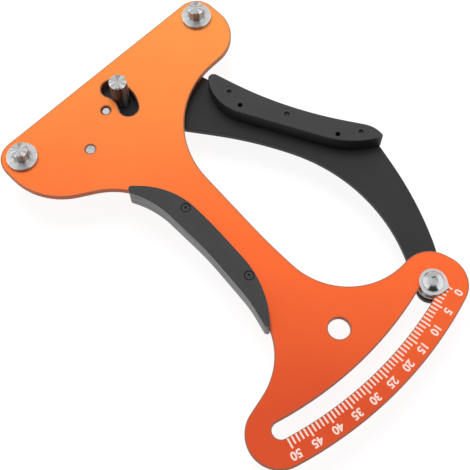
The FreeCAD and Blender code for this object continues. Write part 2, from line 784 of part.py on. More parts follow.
def least_gap(path, wire, turn_length):
    """Least clear gap of a wound wire to itself, between points over half a turn apart along it."""
    spots = path.discretize(Number=GAP_POINTS)
    apart = math.ceil(turn_length / 2 / (path.Length / (GAP_POINTS - 1)))
    return min(spots[here].distanceToPoint(spots[there])
               for here in range(GAP_POINTS) for there in range(here + apart, GAP_POINTS)) - wire


coil_radius = number("coil_radius")
slope = number("coil_pitch") / (2 * math.pi)
step = math.radians(coil_sweep / coil_steps)
knots = []
height = -number(BODY_LEG_DEPTH)
for knot in range(coil_steps + 1):
    angle = math.radians(coil_start) - knot * step
    steepness = 0 if knot in (0, coil_steps) else slope
    if knot:
        height += step * (steepness + last_steepness) / 2
    way = Vector(math.sin(angle), -math.cos(angle), steepness / coil_radius)
    knots.append((polar(Vector(0, 0, height), coil_radius, angle), way.normalize()))
    last_steepness = steepness
leg = math.sqrt(number("pin_reach") ** 2 - coil_radius ** 2) + number("leg_overhang")
coil_path = [Part.LineSegment(knots[0][0] - knots[0][1] * leg, knots[0][0])]
for (here, here_way), (there, there_way) in zip(knots, knots[1:]):
    coil_path += biarc(here, here_way, there, there_way)
coil_path.append(Part.LineSegment(knots[-1][0], knots[-1][0] + knots[-1][1] * leg))
coil_wire = Part.Wire([edge.toShape() for edge in coil_path])
wire_radius = number("wire_radius")
section = Part.Circle(knots[0][0] - knots[0][1] * leg, knots[0][1], wire_radius)
spring = doc.addObject("Part::Feature", "return_spring")
spring.Shape = coil_wire.makePipeShell([Part.Wire(section.toShape())], True, False)
keep(place(spring, *PIVOT))
volume_share = spring.Shape.Volume / (coil_wire.Length * math.pi * wire_radius ** 2)
print("spring: %.2f turns, volume %.4f of the wire's own" % (coil_sweep / FULL_TURN, volume_share))
coil_gap = least_gap(coil_wire, 2 * wire_radius, 2 * math.pi * coil_radius)
print("spring: least gap to itself %.3f mm" % coil_gap)


# Grip on the body plate: two halves that meet halfway through the plate's thickness beside its edge

def plate_side(shift):
    """Closed region that holds the body plate behind the grip, its left side moved by shift."""
    edge = left_edge(shift)
    lobe = left_lobe_corners()[0][0]
    middle = -number("neck_right")
    edge[0] = (edge[0][0], 0)
    upper, lower = Vector(middle, edge[0][0].y, 0), Vector(middle, lobe.y, 0)
    return rounded([(upper, 0)] + edge + [(lobe, 0), (lower, 0)])


def body_grip(label, front):
    """One half of the grip, with the plate's place cut out of it."""
    full = "body_grip_proud + plate_thickness / 2"
    half = pad(label, rounded(shared(BODY_GRIP_SHARES)), full)
    break_edges(half, label + "_round", "Fillet", "grip_round", [full if front else "0"])
    sketch = add_sketch(half, label + "_seat_outline", height="0" if front else full)
    sketch.addGeometry(plate_side(number("seat_clearance")), False)
    pocket(half, label + "_seat", sketch, "plate_thickness / 2", upwards=front)
    drill(half, label + "_holes", BODY_GRIP_SCREWS, "small_screw_radius + hole_clearance")
    return half


grip_front = body_grip("body_grip_front", True)
drill(grip_front, "grip_head_holes", BODY_GRIP_SCREWS, "small_head_radius + small_head_side_gap",
      "body_grip_proud + plate_thickness / 2", "small_head_height + small_head_recess", upwards=False)
keep(place(grip_front, z="-plate_thickness / 2"))
grip_back = body_grip("body_grip_back", False)
hex_pocket(grip_back, "grip_nut_places", BODY_GRIP_SCREWS, "small_nut_flats + 2 * hole_clearance", "0",
           "small_nut_height + small_nut_recess", upwards=True)
keep(place(grip_back, z="-(plate_thickness + body_grip_proud)"))

grip_screws = []
grip_nuts = []
for index, spot in enumerate(BODY_GRIP_SCREWS):
    label = "body_grip_screw_%d" % index
    top = "body_grip_proud - small_head_recess"
    end = "-(%s - small_head_height + plate_thickness + body_grip_proud - small_nut_recess)" % top
    screw = turned(label, [("0", end), ("small_screw_radius", end), ("small_screw_radius", "0"),
                           ("small_head_radius", "0"), ("small_head_radius", "small_head_height"),
                           ("0", "small_head_height")])
    hex_pocket(screw, label + "_key", [("0", "0")], "small_key", "small_head_height", "small_key_depth")
    grip_screws.append(place(screw, *spot, top + " - small_head_height"))
    grip_nut = nut("body_grip_nut_%d" % index, "small_nut_flats", "small_nut_height",
                   "small_screw_radius + running_clearance")
    grip_nuts.append(place(grip_nut, *spot, "-(plate_thickness + body_grip_proud - small_nut_recess)"))
keep(group("body_grip_screws", grip_screws))
keep(group("body_grip_nuts", grip_nuts))


# Grip on the lever
FLUSH_HOLE = "flush_screw_radius + hole_clearance"
lever_grip = pad("lever_grip", rounded(shared(LEVER_GRIP_SHARES, point(PIVOT))), "lever_grip_height")
break_edges(lever_grip, "lever_grip_round", "Fillet", "grip_round", ["lever_grip_height"])
drill(lever_grip, "lever_grip_screw_holes", LEVER_GRIP_SCREWS, FLUSH_HOLE)
drill(lever_grip, "lever_grip_dowel_holes", DOWELS, "dowel_radius + running_clearance")
flush_screws = []
flush_nuts = []
for index, spot in enumerate(LEVER_GRIP_SCREWS):
    countersink(lever_grip, "lever_grip_sink_%d" % index, spot, FLUSH_HOLE,
                "(flush_head_radius + flush_recess)", "lever_grip_height")
    length = "lever_grip_height - flush_recess + lever_thickness + flush_nut_height + thread_overhang"
    screw = sunk_screw("lever_grip_screw_%d" % index, "flush_screw_radius", "flush_head_radius", length,
                       "flush_key", "flush_key_depth")
    flush_screws.append(place(screw, *spot, "%s + lever_grip_height - flush_recess" % LEVER_FRONT))
    flush_nut = nut("lever_grip_nut_%d" % index, "flush_nut_flats", "flush_nut_height",
                    "flush_screw_radius + running_clearance")
    flush_nuts.append(place(flush_nut, *spot, "%s - flush_nut_height" % LEVER_BACK))
keep(place(lever_grip, z=LEVER_FRONT))
keep(group("lever_grip_screws", flush_screws))
keep(group("lever_grip_nuts", flush_nuts))

dowels = []
for index, spot in enumerate(DOWELS):
    dowel = doc.addObject("Part::Cylinder", "dowel_%d" % index)
    bind(dowel, "Radius", "dowel_radius")
    bind(dowel, "Height", "lever_thickness + lever_grip_height - dowel_recess - dowel_end_recess")
    dowels.append(place(dowel, *spot, "%s + dowel_end_recess" % LEVER_BACK))
keep(group("lever_grip_pins", dowels))


# Pointer on the lever's end: boss through the slot, disc with a tip, button screw, washer and nut
SCREW_BORE = "pointer_screw_radius + hole_clearance"
DISC_BOTTOM = "pointer_float"
tip_angle = math.radians(number("scale_start_angle + pointer_turn_angle"))
open_angle = math.acos(number("pointer_radius / pointer_tip"))
disc_radius = number("pointer_radius")
tip = polar(Vector(), number("pointer_tip"), tip_angle)
left_touch = polar(Vector(), disc_radius, tip_angle + open_angle)
right_touch = polar(Vector(), disc_radius, tip_angle - open_angle)
far_side = polar(Vector(), disc_radius, tip_angle + math.pi)
disc_outline = [Part.Arc(left_touch, far_side, right_touch), Part.LineSegment(right_touch, tip),
                Part.LineSegment(tip, left_touch)]
disc = pad("pointer", disc_outline, "pointer_thickness")
drill(disc, "pointer_bore", [("0", "0")], SCREW_BORE)
keep(place(disc, *POINTER, DISC_BOTTOM))

boss_top = "lever_gap + plate_thickness + pointer_float"
boss = turned("pointer_boss", [
    (SCREW_BORE, "0"), ("boss_rim_radius", "0"), ("boss_rim_radius", "boss_rim_height"),
    ("boss_neck_radius", "lever_gap - pointer_float"), ("boss_neck_radius", boss_top),
    (SCREW_BORE, boss_top)])
keep(place(boss, *POINTER, LEVER_FRONT))

DOME_RISE = "(pointer_head_height - pointer_head_rim)"
DOME_RADIUS = "((pointer_head_radius ^ 2 + %s ^ 2) / (2 * %s))" % (DOME_RISE, DOME_RISE)
SHANK = ("(pointer_float + pointer_thickness + plate_thickness + lever_gap + lever_thickness"
         " + washer_thickness + pointer_nut_height + thread_overhang)")
head = doc.addObject("Part::Cylinder", "pointer_screw_head")
bind(head, "Radius", "pointer_head_radius")
bind(head, "Height", "pointer_head_height")
dome = doc.addObject("Part::Sphere", "pointer_screw_dome")
bind(dome, "Radius", DOME_RADIUS)
bind(dome, "Placement.Base.z", "pointer_head_height - " + DOME_RADIUS)
button = doc.addObject("Part::Common", "pointer_screw_button")
button.Base, button.Tool = head, dome
shank = doc.addObject("Part::Cylinder", "pointer_screw_shank")
bind(shank, "Radius", "pointer_screw_radius")
bind(shank, "Height", SHANK)
bind(shank, "Placement.Base.z", "-" + SHANK)
blank = doc.addObject("Part::Fuse", "pointer_screw_blank")
blank.Base, blank.Tool = button, shank
key = doc.addObject("Part::Prism", "pointer_screw_key")
key.Polygon = HEX_SIDES
bind(key, "Circumradius", "pointer_key / 2 / cos(%s * 1 deg)" % (HALF_TURN / HEX_SIDES))
bind(key, "Height", "pointer_key_depth + overrun")
bind(key, "Placement.Base.z", "pointer_head_height - pointer_key_depth")
pointer_screw = doc.addObject("Part::Cut", "pointer_screw")
pointer_screw.Base, pointer_screw.Tool = blank, key
doc.recompute()
keep(place(pointer_screw, *POINTER, DISC_BOTTOM + " + pointer_thickness"))

keep(place(ring("pointer_washer", SCREW_BORE, "pointer_washer_radius", "washer_thickness"),
           *POINTER, LEVER_BACK + " - washer_thickness"))
pointer_nut = nut("pointer_nut", "pointer_nut_flats", "pointer_nut_height",
                  "pointer_screw_radius + running_clearance")
keep(place(pointer_nut, *POINTER, LEVER_BACK + " - washer_thickness - pointer_nut_height"))


# Check every object, then write one file for each node
doc.recompute()
for thing in doc.Objects:
    if "Invalid" in thing.State or "Error" in thing.State:
        raise RuntimeError("%s failed: %s" % (thing.Label, thing.State))
for node in nodes:
    if node.Shape.isNull() or not node.Shape.isValid() or not node.Shape.Solids:
        raise RuntimeError("%s has no valid solid" % node.Label)
os.makedirs("parts", exist_ok=True)
for node in nodes:
    node.Shape.exportStep("parts/%s.step" % node.Label)
print("%d nodes, %d solids" % (len(nodes), sum(len(node.Shape.Solids) for node in nodes)))
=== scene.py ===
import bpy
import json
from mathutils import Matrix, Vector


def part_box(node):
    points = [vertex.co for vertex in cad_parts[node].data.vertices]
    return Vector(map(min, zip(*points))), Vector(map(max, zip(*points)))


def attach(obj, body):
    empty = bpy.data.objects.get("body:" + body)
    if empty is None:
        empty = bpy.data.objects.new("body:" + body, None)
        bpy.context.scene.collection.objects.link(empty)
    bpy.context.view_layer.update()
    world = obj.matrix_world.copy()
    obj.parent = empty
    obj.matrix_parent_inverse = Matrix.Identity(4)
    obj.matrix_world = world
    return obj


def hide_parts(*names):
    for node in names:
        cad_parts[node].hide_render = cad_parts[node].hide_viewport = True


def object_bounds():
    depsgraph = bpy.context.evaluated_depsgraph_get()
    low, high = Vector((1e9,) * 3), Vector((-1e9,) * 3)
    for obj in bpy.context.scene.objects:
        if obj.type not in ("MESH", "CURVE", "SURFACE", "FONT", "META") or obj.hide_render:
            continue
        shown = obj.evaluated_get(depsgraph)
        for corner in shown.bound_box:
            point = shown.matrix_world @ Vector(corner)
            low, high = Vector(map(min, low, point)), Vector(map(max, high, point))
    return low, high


bl_info = {
    "name": "Spoke Tension Meter Finish",
    "version": (1, 0, 0),
    "blender": (4, 5, 0),
    "location": "3D View > Sidebar > Tension Meter",
    "description": "Finished pieces, scale print, materials and stage of a bicycle spoke tension meter",
    "category": "Object",
}

import json
import math

import bmesh
import bpy
from bpy.props import FloatProperty, FloatVectorProperty, IntProperty, PointerProperty
from bpy.types import NodeSocket, Operator, Panel, PropertyGroup
from mathutils import Matrix, Vector

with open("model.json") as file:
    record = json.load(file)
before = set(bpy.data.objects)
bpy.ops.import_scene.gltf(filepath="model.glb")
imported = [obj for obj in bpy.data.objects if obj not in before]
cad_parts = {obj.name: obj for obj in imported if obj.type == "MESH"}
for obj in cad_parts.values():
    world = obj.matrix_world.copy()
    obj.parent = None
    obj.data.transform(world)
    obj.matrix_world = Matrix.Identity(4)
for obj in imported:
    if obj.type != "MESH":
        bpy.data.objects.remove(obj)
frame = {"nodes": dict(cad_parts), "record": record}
cad_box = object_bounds()

MM = 0.001
RECORD = frame["record"]
BODY_OF = {node: body for body, nodes in RECORD["behaviour"]["bodies"].items() for node in nodes}
PIVOT = Vector(RECORD["behaviour"]["joints"][0]["pos_m"])

MERGE_REACH = 1e-6
SMOOTH_ANGLE = math.radians(32)
ROUND_SIDES = 72
SMALL_SIDES = 48
HEX_STEP = math.radians(60)
THREAD_STEPS = 4
# Directions in the row frame that point up and left in the picture
PICTURE_UP = Vector((0.705, 0.709, 0))
PICTURE_LEFT = Vector((-0.712, 0.702, 0))
KEY_LAMP_WAY = PICTURE_UP * 0.6 + PICTURE_LEFT * 0.15 + Vector((0, 0, 1.75))
FLOOR_TONE = 0.14
FLOOR_SEEN_GLOW = 0.91


# Sizes and colours that a user may change

def length(label, description, default, **limits):
    """Property for a length given in millimetres."""
    return FloatProperty(name=label, description=description, default=default * MM, unit="LENGTH",
                         subtype="DISTANCE", precision=5, **limits)


def angle(label, description, default):
    """Property for an angle given in degrees."""
    return FloatProperty(name=label, description=description, default=math.radians(default),
                         unit="ROTATION", subtype="ANGLE")


def whole_number(label, description, default, least):
    return IntProperty(name=label, description=description, default=default, min=least)


def plain_number(label, description, default, **more):
    return FloatProperty(name=label, description=description, default=default, **more)


def share(label, description, default):
    return FloatProperty(name=label, description=description, default=default, min=0, max=1,
                         subtype="FACTOR")


def colour(label, description, default):
    return FloatVectorProperty(name=label, description=description, default=default, min=0, max=1,
                               size=3, subtype="COLOR")


class TensionMeterFinish(PropertyGroup):
    """Colours and surface values of the meter."""

    # The plate's three colours are stops of a painted light gradient: lightest at the head, deeper towards
    # the scale where less light falls.
    plate_light: colour("Plate, Light End", "Anodised colour at the plate's head", (0.97, 0.31, 0.07))
    plate_middle: colour("Plate, Middle", "Anodised colour at the plate's neck", (0.98, 0.148, 0.032))
    plate_deep: colour("Plate, Deep End", "Anodised colour at the scale", (0.67, 0.077, 0.02))
    plate_edge: colour("Plate Edge", "Colour of the plate's broken edges", (0.22, 0.13, 0.09))
    plate_edge_width: length("Plate Edge Width", "Width of the duller line along the plate's edges", 0.9)
    plate_roughness: share("Plate Roughness", "Roughness of the satin anodised plate", 0.5)
    lever_colour: colour("Lever", "Colour of the anodised lever", (0.022, 0.022, 0.0225))
    grip_colour: colour("Grip", "Colour of the moulded grips", (0.032, 0.032, 0.033))
    # Grip wall tones: painted light on the body grip's walls, painted shade on the lever grip's walls.
    body_grip_wall: share("Body Grip Wall", "Lightest tone of the body grip's milled walls", 0.3)
    lever_grip_wall: share("Lever Grip Wall", "Lightest tone of the lever grip's walls", 0.02)
    mark_colour: colour("Scale Print", "Colour of the printed scale", (0.93, 0.72, 0.66))
    bright_colour: colour("Turned Metal", "Colour of the turned posts and pointer", (0.82, 0.82, 0.82))
    plated_colour: colour("Plated Steel", "Colour of plated screws and washers", (0.74, 0.75, 0.76))
    black_colour: colour("Black Steel", "Colour of the blackened screws", (0.03, 0.03, 0.031))
    wire_colour: colour("Spring Wire", "Colour of the spring's wire", (0.36, 0.36, 0.37))
    brass_colour: colour("Bearing Brass", "Colour of the pivot bush", (0.62, 0.42, 0.16))


class TensionMeterScale(PropertyGroup):
    """Sizes of the printed scale."""

    ticks: whole_number("Ticks", "Number of tick lines", 51, 2)
    group: whole_number("Ticks per Number", "Every so many ticks, one is long", 5, 1)
    first_angle: angle("First Tick", "Angle of the zero line about the pivot", -74.906)
    step_angle: angle("Tick Step", "Angle from one tick to the next", -0.6334)
    inner_radius: length("Inner Radius", "Where the ticks start, from the pivot", 179.5)
    short_length: length("Short Tick", "Length of a short tick", 3.6)
    long_length: length("Long Tick", "Length of a long tick", 4.7)
    tick_width: length("Tick Width", "Width of a tick line", 0.78)
    print_height: length("Print Height", "How far the print stands proud of the plate", 0.02)
    number_radius: length("Number Radius", "Middle of the numbers, from the pivot", 187.2)
    number_weight: length("Number Weight", "How much bolder the numbers are than the letter form", 0.12)
    number_height: length("Number Height", "Height of the numbers", 3.85)
    number_width: share("Number Width", "Width of a number against the letter form's own", 1.0)


class TensionMeterSpring(PropertyGroup):
    """Sizes of the return spring."""

    wire_radius: length("Wire Radius", "Radius of the spring's wire", 1.0)
    coil_radius: length("Coil Radius", "Radius of the coil at the wire's middle", 7.6)
    pitch: length("Pitch", "Rise of the coil in one turn", 2.9)
    whole_turns: whole_number("Whole Turns", "Whole turns besides the part turn", 2, 1)
    leg_overhang: length("Leg Overhang", "How far each leg reaches past its pin", 3.5)
    turn_points: whole_number("Points per Turn", "Points of the path in one turn", 48, 12)


class TensionMeterStage(PropertyGroup):
    """Camera, lights and floor."""

    camera_place: FloatVectorProperty(name="Camera Place", description="Where the camera stands", size=3,
                                      default=(-0.128798, -0.221322, 0.388032), subtype="TRANSLATION",
                                      unit="LENGTH", precision=6)
    camera_turn: FloatVectorProperty(name="Camera Turn", description="How the camera is turned", size=3,
                                     default=[math.radians(turn) for turn in (23.3731, 0.5449, -44.6253)],
                                     subtype="EULER")
    lens: plain_number("Lens", "Focal length on a 36 mm sensor", 71.042)
    floor_size: length("Floor Size", "Side of the square floor", 4000)
    floor_gap: length("Floor Gap", "Room between the floor and the lowest piece", 0.1)
    tent_level: plain_number("Tent Level", "Brightness of the tent about the object", 0.9)
    side_level: plain_number("Side Level", "Brightness of the tent's left and right", 1.5)
    dark_level: share("Dark Level", "Brightness of the gap in the tent where the camera stands", 0.06)
    dark_half: angle("Dark Half Width", "Half of the gap's width, seen from the object", 40)
    dark_top: angle("Dark Top", "How high the gap reaches", 62)
    soft_share: share("Soft Share", "Share of the tent's light that matt surfaces get", 0.32)
    floor_glow: share("Floor Glow", "Light that the floor gives by itself", 0.65)
    key_power: plain_number("Key Lamp", "Power of the main lamp", 29.0, unit="POWER")


def finish():
    return bpy.context.scene.tension_meter_finish


# Node helpers

def add(tree, kind, sockets=None, **properties):
    """Add a node, set its own properties and fill its inputs with values or links."""
    node = tree.nodes.new(kind)
    for name, value in properties.items():
        setattr(node, name, value)
    for key, value in (sockets or {}).items():
        if isinstance(value, NodeSocket):
            tree.links.new(value, node.inputs[key])
        else:
            node.inputs[key].default_value = value
    return node


def calc(tree, operation, first, second=0.0, third=0.0):
    """One Math node in a shader or geometry tree."""
    return add(tree, "ShaderNodeMath", {0: first, 1: second, 2: third}, operation=operation).outputs[0]


def vector_calc(tree, operation, first, second=(0, 0, 0)):
    """One Vector Math node: its number for a dot product or a length, else its vector."""
    outputs = add(tree, "ShaderNodeVectorMath", {0: first, 1: second}, operation=operation).outputs
    return outputs["Value" if operation in ("DOT_PRODUCT", "LENGTH") else "Vector"]


def combined(tree, x=0.0, y=0.0, z=0.0):
    """Vector made of three numbers, each a value or a socket."""
    return add(tree, "ShaderNodeCombineXYZ", {0: x, 1: y, 2: z}).outputs[0]


def z_of(tree, vector):
    return add(tree, "ShaderNodeSeparateXYZ", {0: vector}).outputs[2]


def mixed(tree, factor, first, second, blend="MIX"):
    """Mix of two colours, each a socket or three numbers."""
    first, second = (value if isinstance(value, NodeSocket) else (*value, 1) for value in (first, second))
    return add(tree, "ShaderNodeMix", {0: factor, 6: first, 7: second}, data_type="RGBA",
               blend_type=blend).outputs[2]


def ramp(tree, value, low, high, low_out=0.0, high_out=1.0, smooth=False):
    """Value mapped from one range to another, held at the ends."""
    return add(tree, "ShaderNodeMapRange", {0: value, 1: low, 2: high, 3: low_out, 4: high_out},
               interpolation_type="SMOOTHSTEP" if smooth else "LINEAR").outputs[0]


def grained(tree, pattern, low=0.0, high=1.0):
    """The usual span of a noise pattern mapped to a range."""
    return ramp(tree, pattern, 0.3, 0.7, low, high)


def noise(tree, place, scale, detail=2.0, roughness=0.5):
    """Noise from 0 to 1 whose grain is 1 / scale metres at a place."""
    return add(tree, "ShaderNodeTexNoise", {"Vector": place, "Scale": scale, "Detail": detail,
                                            "Roughness": roughness}).outputs[0]


def new_surface(name):
    """Fresh material, its tree with a principled shader, and the object's own coordinates."""
    material = bpy.data.materials.new(name)
    material.use_nodes = True
    tree = material.node_tree
    tree.nodes.clear()
    add(tree, "ShaderNodeOutputMaterial", {"Surface": add(tree, "ShaderNodeBsdfPrincipled").outputs[0]})
    return material, tree, add(tree, "ShaderNodeTexCoord").outputs["Object"]


def dress(tree, **sockets):
    """Fill inputs of the principled shader by their names."""
    shader = tree.nodes["Principled BSDF"]
    for name, value in sockets.items():
        socket = shader.inputs[name.replace("_", " ")]
        if isinstance(value, NodeSocket):
            tree.links.new(value, socket)
        else:
            socket.default_value = (*value, 1) if socket.type == "RGBA" else value


def finished(material, base, rough, low, high, relief, distance, **sockets):
    """Fill a surface: colour, roughness over a pattern, relief whose height is in metres, other inputs."""
    tree = material.node_tree
    normal = add(tree, "ShaderNodeBump", {"Height": relief, "Distance": distance, "Strength": 1.0}).outputs[0]
    dress(tree, Base_Color=base, Roughness=grained(tree, rough, low, high), Normal=normal, **sockets)
    return material


def shaded(tone, part):
    return [value * part for value in tone]


def upward(tree):
    """How far a face looks along Z, from 0 for a wall to 1 for a level face."""
    return calc(tree, "ABSOLUTE", z_of(tree, add(tree, "ShaderNodeNewGeometry").outputs["True Normal"]))


# Materials

def anodised_plate():
    """Blasted and anodised orange aluminium: fine grain, painted light that is lightest at the head and
    deeper towards the scale, painted shade on the walls, a darker line along the edges.
    """
    values = finish()
    material, tree, place = new_surface("orange_anodised_satin")
    # Painted light: the colour runs from light at the head to deep at the scale along PICTURE_UP, standing in
    # for how the light falls off.
    along = vector_calc(tree, "DOT_PRODUCT", place, PICTURE_UP)
    along = calc(tree, "ADD", along, ramp(tree, noise(tree, place, 18, 3), 0.35, 0.65, -0.006, 0.006))
    base = mixed(tree, ramp(tree, along, -0.09, 0.04), values.plate_middle, values.plate_light)
    base = mixed(tree, ramp(tree, along, -0.16, -0.095), values.plate_deep, base)
    grain = noise(tree, place, 3200, 3, 0.6)
    fleck = noise(tree, place, 900, 2, 0.6)
    base = mixed(tree, grained(tree, grain, 0, 0.14), base, (1.0, 0.62, 0.42), "OVERLAY")
    base = mixed(tree, ramp(tree, fleck, 0.55, 0.75, 0, 0.1), base, (0.75, 0.12, 0.03))
    # Painted shade: the walls are darkened towards brown, by how far each face turns from level.
    base = mixed(tree, ramp(tree, upward(tree), 0.05, 0.3), mixed(tree, 0.5, base, (0.2, 0.05, 0.03)), base)
    true_way = add(tree, "ShaderNodeNewGeometry").outputs["True Normal"]
    eased_way = add(tree, "ShaderNodeBevel", {"Radius": values.plate_edge_width}, samples=8).outputs[0]
    level = vector_calc(tree, "DOT_PRODUCT", true_way, eased_way)
    base = mixed(tree, ramp(tree, level, 0.998, 0.975), base, values.plate_edge)
    relief = calc(tree, "ADD", grain, calc(tree, "MULTIPLY", fleck, 0.4))
    return finished(material, base, grain, values.plate_roughness - 0.05, values.plate_roughness + 0.08,
                    relief, 0.00002, Metallic=0.1, Specular_IOR_Level=0.3)


def anodised_lever():
    """Matt black anodised aluminium with fine grain and faint cloudiness."""
    material, tree, place = new_surface("black_anodised_matt")
    grain = noise(tree, place, 2800, 3, 0.6)
    cloudy = ramp(tree, noise(tree, place, 45, 3), 0.35, 0.7, 0, 0.25)
    base = mixed(tree, grained(tree, grain, 0, 0.35), finish().lever_colour, (0.04, 0.04, 0.042))
    base = mixed(tree, cloudy, base, (0.014, 0.014, 0.015))
    return finished(material, base, grain, 0.48, 0.6, grain, 0.000015, Specular_IOR_Level=0.3)


def moulded_grip(wall_low, wall_high):
    """Dark grey grip: fine matt skin on top, walls between two tones with lengthwise tool lines; the wall
    tones are painted light on the body grip and painted shade on the lever grip.
    """
    material, tree, place = new_surface("grip_dark_matt_%s" % round(wall_low * 1000))
    skin = noise(tree, place, 1800, 3, 0.65)
    cloudy = ramp(tree, noise(tree, place, 60, 2), 0.4, 0.7, 0, 0.25)
    base = mixed(tree, grained(tree, skin, 0, 0.4), finish().grip_colour, (0.048, 0.048, 0.049))
    base = mixed(tree, cloudy, base, (0.022, 0.022, 0.023))
    lines = noise(tree, vector_calc(tree, "MULTIPLY", place, (1, 1, 20)), 42, 3, 0.6)
    # Painted light and shade: each grip's walls take their own tone between the two values, with the tool
    # lines across it.
    wall = mixed(tree, ramp(tree, lines, 0.35, 0.65), (wall_low,) * 3, (wall_high,) * 3)
    level = ramp(tree, upward(tree), 0.15, 0.75)
    return finished(material, mixed(tree, level, wall, base), skin, 0.42, 0.58,
                    ramp(tree, level, 0, 1, lines, skin), 0.00003, Specular_IOR_Level=0.4)


def turned_metal(name, centre, base_colour, roughness=0.24, anisotropy=0.75, wall_painted_shade=1.0, painted_sector_share=0.0):
    """Metal turned about a vertical axis: circular tool lines, painted shade on the walls, painted reflection
    sectors from the middle.
    """
    material, tree, place = new_surface(name)
    seen = vector_calc(tree, "SUBTRACT", place, (*centre, 0))
    flat = vector_calc(tree, "MULTIPLY", seen, (1, 1, 0))
    radius = vector_calc(tree, "LENGTH", flat)
    around = vector_calc(tree, "CROSS_PRODUCT", (0, 0, 1), flat)
    facing = add(tree, "ShaderNodeNewGeometry").outputs["Normal"]
    over_lines = vector_calc(tree, "NORMALIZE", vector_calc(tree, "CROSS_PRODUCT", around, facing))
    rings = noise(tree, combined(tree, radius, z_of(tree, seen)), 9000)
    tone = mixed(tree, grained(tree, rings), shaded(base_colour, 0.86), base_colour)
    # Painted reflection: light and dark sectors about the axis on the turned faces, standing in for the
    # reflected surroundings.
    painted_sectors = ramp(tree, noise(tree, vector_calc(tree, "NORMALIZE", flat), 2.6, 1), 0.42, 0.58)
    painted_sectors = calc(tree, "MULTIPLY", painted_sectors, ramp(tree, radius, 0.0044, 0.005, painted_sector_share, painted_sector_share * 0.25))
    tone = mixed(tree, painted_sectors, tone, shaded(base_colour, 0.3))
    # Painted shade: the walls are darkened against the level faces.
    tone = mixed(tree, 1.0, tone, ramp(tree, upward(tree), 0.1, 0.6, wall_painted_shade, 1.0), "MULTIPLY")
    return finished(material, tone, noise(tree, place, 400, 2), roughness - 0.04, roughness + 0.05, rings,
                    0.000004, Metallic=1.0, Anisotropic=anisotropy, Tangent=over_lines)


def plated_steel():
    """Zinc plated steel with a faint bluish cloud and small handling marks."""
    material, tree, place = new_surface("plated_steel_bright")
    cloudy = noise(tree, place, 350, 3)
    specks = noise(tree, place, 2600, 2, 0.7)
    base = mixed(tree, ramp(tree, cloudy, 0.35, 0.7), finish().plated_colour, (0.6, 0.63, 0.68))
    base = mixed(tree, ramp(tree, specks, 0.6, 0.8, 0, 0.4), base, (0.42, 0.42, 0.44))
    return finished(material, base, cloudy, 0.2, 0.34, specks, 0.000008, Metallic=1.0)


def black_steel():
    """Blackened steel: nearly black with slightly rubbed spots."""
    material, tree, place = new_surface("black_steel_oiled")
    specks = noise(tree, place, 3000, 3, 0.6)
    rubbed = ramp(tree, noise(tree, place, 500, 2), 0.5, 0.75, 0, 0.5)
    base = mixed(tree, rubbed, finish().black_colour, (0.055, 0.055, 0.057))
    return finished(material, base, specks, 0.3, 0.46, specks, 0.000006, Metallic=0.1,
                    Specular_IOR_Level=0.5)


def spring_wire():
    """Drawn spring wire with die lines that run along it."""
    material, tree, place = new_surface("spring_wire_drawn")
    along, around = (add(tree, "ShaderNodeAttribute", attribute_name=name).outputs["Fac"]
                     for name in ("along", "around"))
    spot = combined(tree, calc(tree, "MULTIPLY", along, 6.0), calc(tree, "MULTIPLY", around, 40.0))
    lines = noise(tree, spot, 1.0, 3.0)
    base = mixed(tree, ramp(tree, lines, 0.35, 0.7), finish().wire_colour, (0.18, 0.18, 0.19))
    return finished(material, base, noise(tree, place, 700, 2), 0.26, 0.42, lines, 0.00001, Metallic=1.0)


def scale_print():
    """Screen-printed marks: thin, slightly uneven pale ink."""
    material, tree, place = new_surface("scale_print_pale")
    ink = noise(tree, place, 1500, 3, 0.6)
    base = mixed(tree, ramp(tree, ink, 0.3, 0.75, 0, 0.3), finish().mark_colour, (0.93, 0.68, 0.58))
    return finished(material, base, ink, 0.5, 0.65, ink, 0.000006)


def kept_surface(maker, *values):
    """One material made by a maker, or the one it made before with the same values."""
    key = maker.__name__ + "".join(str(value) for value in values[:1])
    if key not in kept_surfaces:
        kept_surfaces[key] = maker(*values)
    return kept_surfaces[key]


kept_surfaces = {}


# Meshes

def span(node):
    """Middle x and y of a CAD node, then its lowest and highest z."""
    low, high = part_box(node)
    return (low.x + high.x) / 2, (low.y + high.y) / 2, low.z, high.z


def mesh_of(shape, name):
    """Mesh datablock from a bmesh with its doubles joined and its faces turned outwards."""
    bmesh.ops.remove_doubles(shape, verts=shape.verts, dist=MERGE_REACH)
    bmesh.ops.recalc_face_normals(shape, faces=shape.faces)
    mesh = bpy.data.meshes.new(name)
    shape.to_mesh(mesh)
    shape.free()
    mesh.shade_smooth()
    mesh.set_sharp_from_angle(angle=SMOOTH_ANGLE)
    return mesh


def new_piece(name, mesh, material=None):
    """Object at the origin that holds a mesh or other data and, if given, its one material."""
    piece = bpy.data.objects.new(name, mesh)
    bpy.context.scene.collection.objects.link(piece)
    if material:
        mesh.materials.clear()
        mesh.materials.append(material)
    return piece


def stand_for(piece, *nodes):
    """Show a finished piece in place of CAD nodes, on their body."""
    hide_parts(*nodes)
    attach(piece, BODY_OF[nodes[0]])


def joined_copy(node):
    """Copy of a CAD node's loose triangles, joined up and smooth across its curved walls."""
    source = frame["nodes"][node].data
    shape = bmesh.new()
    for corner in source.vertices:
        shape.verts.new(corner.co)
    shape.verts.ensure_lookup_table()
    for face in source.polygons:
        shape.faces.new([shape.verts[index] for index in face.vertices])
    return mesh_of(shape, node + "_finish")


def across(kind, turn):
    """How much further out a hexagon or the pointer's outline lies than a circle, at an angle."""
    if kind == "hex":
        return 1 / math.cos(turn % HEX_STEP - HEX_STEP / 2)
    if kind == "tip":
        aside = abs((turn + math.pi) % (2 * math.pi) - math.pi)
        opening = math.acos(POINTER_RADIUS / POINTER_TIP)
        return 1 / math.cos(aside - opening) if aside < opening else 1
    return 1


